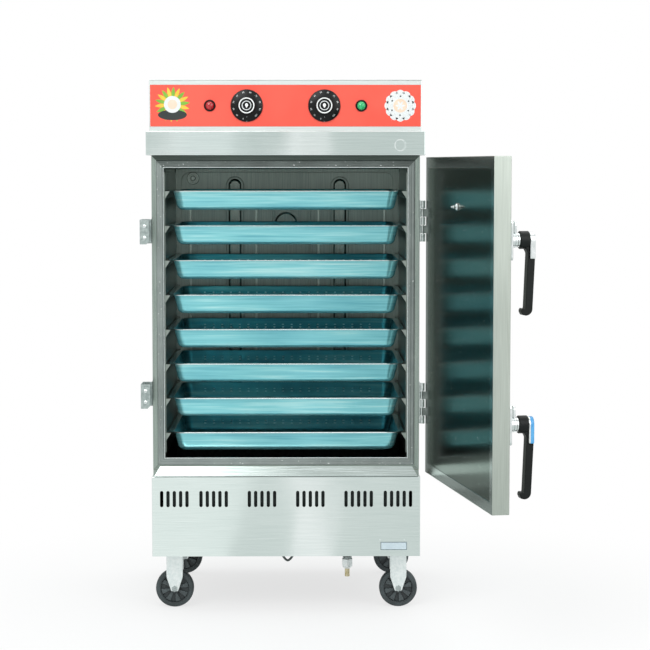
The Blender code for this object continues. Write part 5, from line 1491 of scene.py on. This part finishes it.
def forkParts(hub, top, plate, ends, halfWide, corner):
    # a crown plate whose top is at that height, two legs under it and the axle through them at the hub
    c = castor
    low = top - plate
    crown = cutPlate(rounded(ends[0], -halfWide, ends[1], halfWide, corner), plate, 0.4)
    parts = [(moved(crown, at(hub.x, hub.y, low + plate / 2)), zinc)]
    rise = low - hub.z + 0.4
    half, tip = c["half"], c["tip"]
    leg = filleted([(-half, rise), (-half, c["shoulder"]), (-tip, -c["below"]), (tip, -c["below"]),
                    (half, c["shoulder"]), (half, rise)], 3.2, 4)
    bend = block((-half, -c["sheet"] * 0.5, rise - c["sheet"]), (half, c["sheet"] * 1.3, rise), 0.8, 3)
    for side in (-1, 1):
        place = at(hub.x, hub.y + side * c["legY"], hub.z)
        parts.append((moved(cutPlate(leg, c["sheet"], c["edge"]), place @ upright), zinc))
        inward = Matrix.Scale(-side, 4, (0, 1, 0))
        parts.append((moved(bend.copy(), place @ inward), zinc))
    reach = c["legY"] + c["sheet"] / 2
    parts.append((rod(c["axle"], (hub.x, hub.y - reach - 1, hub.z), (hub.x, hub.y + reach + 1, hub.z)), zinc))
    for face, push in ((faceFront, -reach), (faceBack, reach)):
        spot = (hub.x, hub.y + push, hub.z)
        parts.append((alike(nut(c["nut"], c["nutHigh"] - 0.6), [spot], greyZinc, face), greyZinc))
    bpy.data.meshes.remove(bend)
    return parts


def makeWheel(end, side, hub):
    w = wheel
    r, half = w["radius"], w["half"]
    tread = [(r, 0.35), (r - 0.15, 0.62), (r - 0.9, 0.82), (r - 2.4, 0.95), (r - 4, 1)]
    tread = [(a, b * half) for a, b in tread]
    tyre = [(w["tyre"], half - 0.4), (w["tyre"] + 0.4, half)] + tread[::-1]
    tyre += [(a, -b) for a, b in tyre[::-1]]
    tyre = lathe(tyre, 96, True)
    bore, hubR, web, rim = w["bore"], w["hub"], w["web"], w["tyre"] + 0.2
    inside = [(bore, half), (hubR - 0.8, half), (hubR, half - 0.8), (hubR + 0.5, web),
              (rim - 3.4, web), (rim - 2.2, half - 1.6), (rim, half - 1.2)]
    inside += [(a, -b) for a, b in inside[::-1]]
    centre = lathe(inside, 72, True)
    slope = math.tan(w["wedgeAngle"] * degree)
    near, far = w["wedgeIn"], w["wedgeOut"] - 2.6
    wedge = [(-near * slope, near), (near * slope, near), (far * slope, far), (-far * slope, far)]
    wedge = cutPlate(filleted(wedge, 1.2, 2, True), w["wedgeThick"], 0.8, 1)
    wedges = around(wedge, w["wedges"], 0, w["wedgeStart"], greyWheel)
    place = at(*hub) @ toFront
    parts = [(moved(tyre, place), tyreRubber), (moved(centre, place), darkWheel),
             (moved(wedges, place), greyWheel)]
    addPiece(f"{end}_castor_wheel_{side}", parts, f"{end}_wheel_{side}",
             f"{end}_wheel_{side}_body", 34)


def makeCastors():
    c = castor
    for side, word in ((-1, "left"), (1, "right")):
        low, high = boxIn(f"front_castor_fork_{word}")
        hub = Vector(((low.x + high.x) / 2, (low.y + high.y) / 2, wheel["radius"]))
        half = c["long"] / 2
        parts = forkParts(hub, high.z, c["plate"], (-half, half), c["wide"] / 2, c["corner"])
        parts += boltHeads(hub.x, hub.y, high.z - c["plate"])
        addPiece(f"front_fork_{word}", parts, f"front_castor_fork_{word}")
        makeWheel("front", word, hub)
        low, high = boxIn(f"rear_castor_plate_{word}")
        x, y = (low.x + high.x) / 2, (low.y + high.y) / 2
        base = high.z - c["plate"]
        top = cutPlate(rounded(low.x, low.y, high.x, high.y, c["corner"]), c["plate"], 0.4)
        top = moved(top, at(0, 0, base + c["plate"] / 2))
        foot = base - c["cupHigh"]
        r = c["cup"]
        cup = lathe([(0, base + 0.5), (r, base + 0.5), (r, base - 3), (r - 2.2, base - 3.8),
                     (r - 2.2, base - 6), (r - 0.4, base - 6.8), (r, foot + 2),
                     (r - 1.4, foot), (0, foot)], 48)
        pin = rod(c["pin"], (x, y, c["pinLow"]), (x, y, foot + 1))
        parts = [(top, zinc), (moved(cup, at(x, y, 0)), zinc), (pin, zinc)] + boltHeads(x, y, base)
        addPiece(f"rear_plate_{word}", parts, f"rear_castor_plate_{word}")
        low, high = boxIn(f"rear_castor_fork_{word}")
        hub = Vector((side * (abs(x) + c["trail"]), y, wheel["radius"]))
        inward = -side * (c["trail"] + c["cup"])
        outward = side * (c["half"] + c["crownLap"])
        wide = c["legY"] + c["sheet"] / 2 + c["crownLap"]
        parts = forkParts(hub, high.z, c["sheet"], sorted((inward, outward)), wide, c["rearCorner"])
        crown, finish = parts[0]
        hole = rod(c["pin"] + 0.4, (x, y, high.z - 10), (x, y, high.z + 5), 24, 0)
        parts[0] = (carved(crown, [hole]), finish)
        addPiece(f"rear_fork_{word}", parts, f"rear_castor_fork_{word}", f"rear_fork_{word}_body")
        makeWheel("rear", word, hub)


# Drain under the floor and gland at the back
drain = {"flange": 18, "flangeThick": 2.5, "pipe": 6.5, "bore": 4.6, "hex": 15.4, "hexLow": 73,
         "hexHigh": 107, "locknutLow": 128, "locknutHigh": 6}
gland = {"thread": 7.8, "threadLong": 10, "collar": 11.5, "neck": 8.5, "bore": 4.8, "long": 16, "ribs": 18}


def makeDrain():
    low, high = boxIn("drain_fitting")
    x, y = (low.x + high.x) / 2, (low.y + high.y) / 2
    d = drain
    pipe = [(d["bore"], high.z), (d["flange"] - 0.5, high.z), (d["flange"], high.z - 0.5),
            (d["flange"], high.z - d["flangeThick"]), (d["pipe"], high.z - d["flangeThick"]),
            (d["pipe"], low.z + 0.6), (d["pipe"] - 0.6, low.z), (d["bore"], low.z)]
    parts = [(lathe(pipe, 40, True), nickelBrass)]
    tall = d["hexHigh"] - d["hexLow"]
    body = cutPlate(arc(d["hex"], 30, 390, 60), tall * 0.56, 1.1, 3)
    parts.append((moved(body, at(0, 0, d["hexLow"] + tall * 0.5)), zinc))
    r = d["hex"] * 0.8
    upper = [(0, d["hexHigh"]), (r - 1.4, d["hexHigh"]), (r - 0.6, d["hexHigh"] - 0.8)]
    top = d["hexHigh"] - 1.2
    for turn in range(3):
        upper += [(r, top - 0.8 - turn * 2), (r - 0.8, top - 1.8 - turn * 2)]
    upper += [(r, d["hexLow"] + tall * 0.6), (0, d["hexLow"] + tall * 0.6)]
    parts.append((lathe(upper, 40), zinc))
    lower = [(0, d["hexLow"] + tall * 0.3), (r, d["hexLow"] + tall * 0.3), (r, d["hexLow"] + 5),
             (d["pipe"] + 1.8, d["hexLow"] + 1.2), (d["pipe"] + 0.9, d["hexLow"]), (0, d["hexLow"])]
    parts.append((lathe(lower, 40), zinc))
    locknut = moved(nut(d["hex"] * 0.92, d["locknutHigh"]), at(0, 0, d["locknutLow"]))
    parts.append((locknut, darkSteelAndShade))
    parts = [(moved(mesh, at(x, y, 0)), finish) for mesh, finish in parts]
    addPiece("drain_union", parts, "drain_fitting")


def makeGland():
    low, high = boxIn("supply_gland")
    g = gland
    x, z = (low.x + high.x) / 2, (low.z + high.z) / 2
    seat = high.y - g["long"]
    body = [(g["bore"], g["long"]), (g["neck"] - 0.8, g["long"]), (g["neck"], g["long"] - 0.8),
            (g["neck"] + 0.6, g["long"] * 0.8), (g["collar"] - 0.6, g["long"] * 0.68),
            (g["collar"] - 0.5, g["long"] * 0.36), (g["neck"] + 1, g["long"] * 0.34),
            (g["neck"] + 1, g["long"] * 0.3), (g["collar"], g["long"] * 0.28), (g["collar"], 0),
            (g["thread"], 0)]
    for turn in range(5):
        body += [(g["thread"] - 0.6, -1 - turn * 1.8), (g["thread"], -1.9 - turn * 1.8)]
    body += [(g["thread"] - 0.6, -g["threadLong"]), (g["bore"], -g["threadLong"])]
    rib = block((-0.6, -0.5, g["long"] * 0.38), (0.6, 0.3, g["long"] * 0.66), 0.2, 1)
    ribs = around(rib, g["ribs"], g["collar"] - 0.4, 0, blackGrip)
    place = at(x, seat, z) @ toBack
    parts = [(moved(lathe(body, 40, True), place), blackGrip), (moved(ribs, place), blackGrip)]
    addPiece("cable_gland", parts, "supply_gland")


def refinish(finish, *nodes):
    for name in nodes:
        for place in frame["nodes"][name].material_slots:
            place.material = finish


# Pieces out of sight keep their own solids
# the floor pan and tank take the dark steel as painted shade seen through the vents
refinish(darkSteelAndShade, "water_tank", "floor_pan")
refinish(wool, "insulation_jacket", "door_insulation")
refinish(galvanised, "heater_element")
refinish(blackKnob, "timer_unit", "thermostat_unit")
for word in ("upper", "lower"):
    makeHandle(word)
makeCastors()
makeDrain()
makeGland()
print("handles, castors and fittings made")


# Plain studio: pale floor, white beyond it, soft lamps
studio = {"fadeStart": 0.5, "fadeEnd": 1.5, "fill": 0.62, "floor": "#f4f7f7", "floorHalf": 30,
          "floorWhite": 0.72, "cardY": -9, "cardHigh": 2.6, "matNear": -0.5, "matFar": -3.6,
          "matRise": 1 * mm}
# grey boards behind the camera and grey mats before the cabinet, only for metal to mirror, as (left, right,
# colour)
boards = ((-3.4, -0.95, "#d6dddb"), (-0.87, -0.41, "#ecf2f1"), (-0.41, -0.10, "#cfd7d5"),
          (0.155, 1.8, "#d6dddb"))
mats = ((-1.6, -0.17, "#f8fdfb"), (-0.17, 0.0, "#e2e8e6"), (0.125, 1.6, "#dfe5e3"))


def makeCard(name, corners, colour):
    made = bpy.data.materials.new(name)
    made.use_nodes = True
    tree = made.node_tree
    tree.nodes.clear()
    plain = addNode(tree, "ShaderNodeEmission", {"Color": tint(colour), "Strength": 1.0})
    addNode(tree, "ShaderNodeOutputMaterial", {"Surface": plain})
    mesh = bpy.data.meshes.new(name)
    mesh.from_pydata([home + Vector(corner) for corner in corners], [], [(0, 1, 2, 3)])
    mesh.materials.append(made)
    board = bpy.data.objects.new(name, mesh)
    bpy.context.scene.collection.objects.link(board)
    board.visible_camera = False
    board.visible_diffuse = False
    board.visible_shadow = False


def makeStudio():
    scene = bpy.context.scene
    scene.view_settings.view_transform = "Standard"
    world = bpy.data.worlds.new("studio")
    scene.world = world
    world.use_nodes = True
    tree = world.node_tree
    tree.nodes.clear()
    rays = addNode(tree, "ShaderNodeLightPath").outputs
    seen = addNode(tree, "ShaderNodeMath", {0: rays["Is Camera Ray"], 1: rays["Is Glossy Ray"]},
                   operation="MAXIMUM")
    seen = addNode(tree, "ShaderNodeMath", {0: seen, 1: rays["Is Transmission Ray"]}, operation="MAXIMUM")
    strength = addNode(tree, "ShaderNodeMapRange", {"Value": seen, "To Min": studio["fill"], "To Max": 1.0})
    light = addNode(tree, "ShaderNodeBackground", {"Color": (1, 1, 1, 1), "Strength": strength})
    addNode(tree, "ShaderNodeOutputWorld", {"Surface": light})
    # the floor is lit near the object and turns to plain white away from it
    made = bpy.data.materials.new("studioFloor")
    made.use_nodes = True
    tree = made.node_tree
    tree.nodes.clear()
    place = addNode(tree, "ShaderNodeTexCoord")
    away = addNode(tree, "ShaderNodeVectorMath", {0: place.outputs["Object"]}, operation="LENGTH")
    fade = {"Value": away.outputs["Value"], "From Min": studio["fadeStart"], "From Max": studio["fadeEnd"]}
    fade = addNode(tree, "ShaderNodeMapRange", fade, interpolation_type="SMOOTHSTEP")
    lit = addNode(tree, "ShaderNodeBsdfDiffuse", {"Color": tint(studio["floor"])})
    rays = addNode(tree, "ShaderNodeLightPath").outputs
    seen = addNode(tree, "ShaderNodeMath", {0: rays["Is Camera Ray"], 1: rays["Is Glossy Ray"]},
                   operation="MAXIMUM")
    white = addNode(tree, "ShaderNodeEmission", {"Color": (1, 1, 1, 1), "Strength": 1.0})
    kept = addNode(tree, "ShaderNodeMapRange", {"Value": fade, "To Min": studio["floorWhite"], "To Max": 1.0})
    share = addNode(tree, "ShaderNodeMath", {0: kept, 1: seen}, operation="MULTIPLY")
    both = addNode(tree, "ShaderNodeMixShader", {0: share, 1: lit, 2: white})
    addNode(tree, "ShaderNodeOutputMaterial", {"Surface": both})
    half = studio["floorHalf"]
    floor = bpy.data.meshes.new("floor")
    corners = [(-half, -half, 0), (half, -half, 0), (half, half, 0), (-half, half, 0)]
    floor.from_pydata(corners, [], [(0, 1, 2, 3)])
    floor.materials.append(made)
    ground = bpy.data.objects.new("studio_floor", floor)
    scene.collection.objects.link(ground)
    y, high = studio["cardY"], studio["cardHigh"]
    for number, (left, right, colour) in enumerate(boards):
        corners = ((left, y, 0), (right, y, 0), (right, y, high), (left, y, high))
        makeCard(f"studio_board_{number + 1}", corners, colour)
    near, far, rise = studio["matNear"], studio["matFar"], studio["matRise"]
    for number, (left, right, colour) in enumerate(mats):
        corners = ((left, far, rise), (right, far, rise), (right, near, rise), (left, near, rise))
        makeCard(f"studio_mat_{number + 1}", corners, colour)


lamps = {"key": ((-1.6, -3.2, 3.4), 2.6, 74), "fill": ((2.2, -2.6, 2.2), 2.4, 34),
         "top": ((0, 0.6, 3.6), 3.0, 34)}


def makeLamps():
    target = Vector((home.x, home.y + 0.2, 0.7))
    for name, (place, size, power) in lamps.items():
        lamp = bpy.data.lights.new(name, "AREA")
        lamp.size = size
        lamp.energy = power
        holder = bpy.data.objects.new(name, lamp)
        holder.location = place
        holder.rotation_euler = (target - Vector(place)).to_track_quat("-Z", "Y").to_euler()
        bpy.context.scene.collection.objects.link(holder)


makeStudio()
makeLamps()
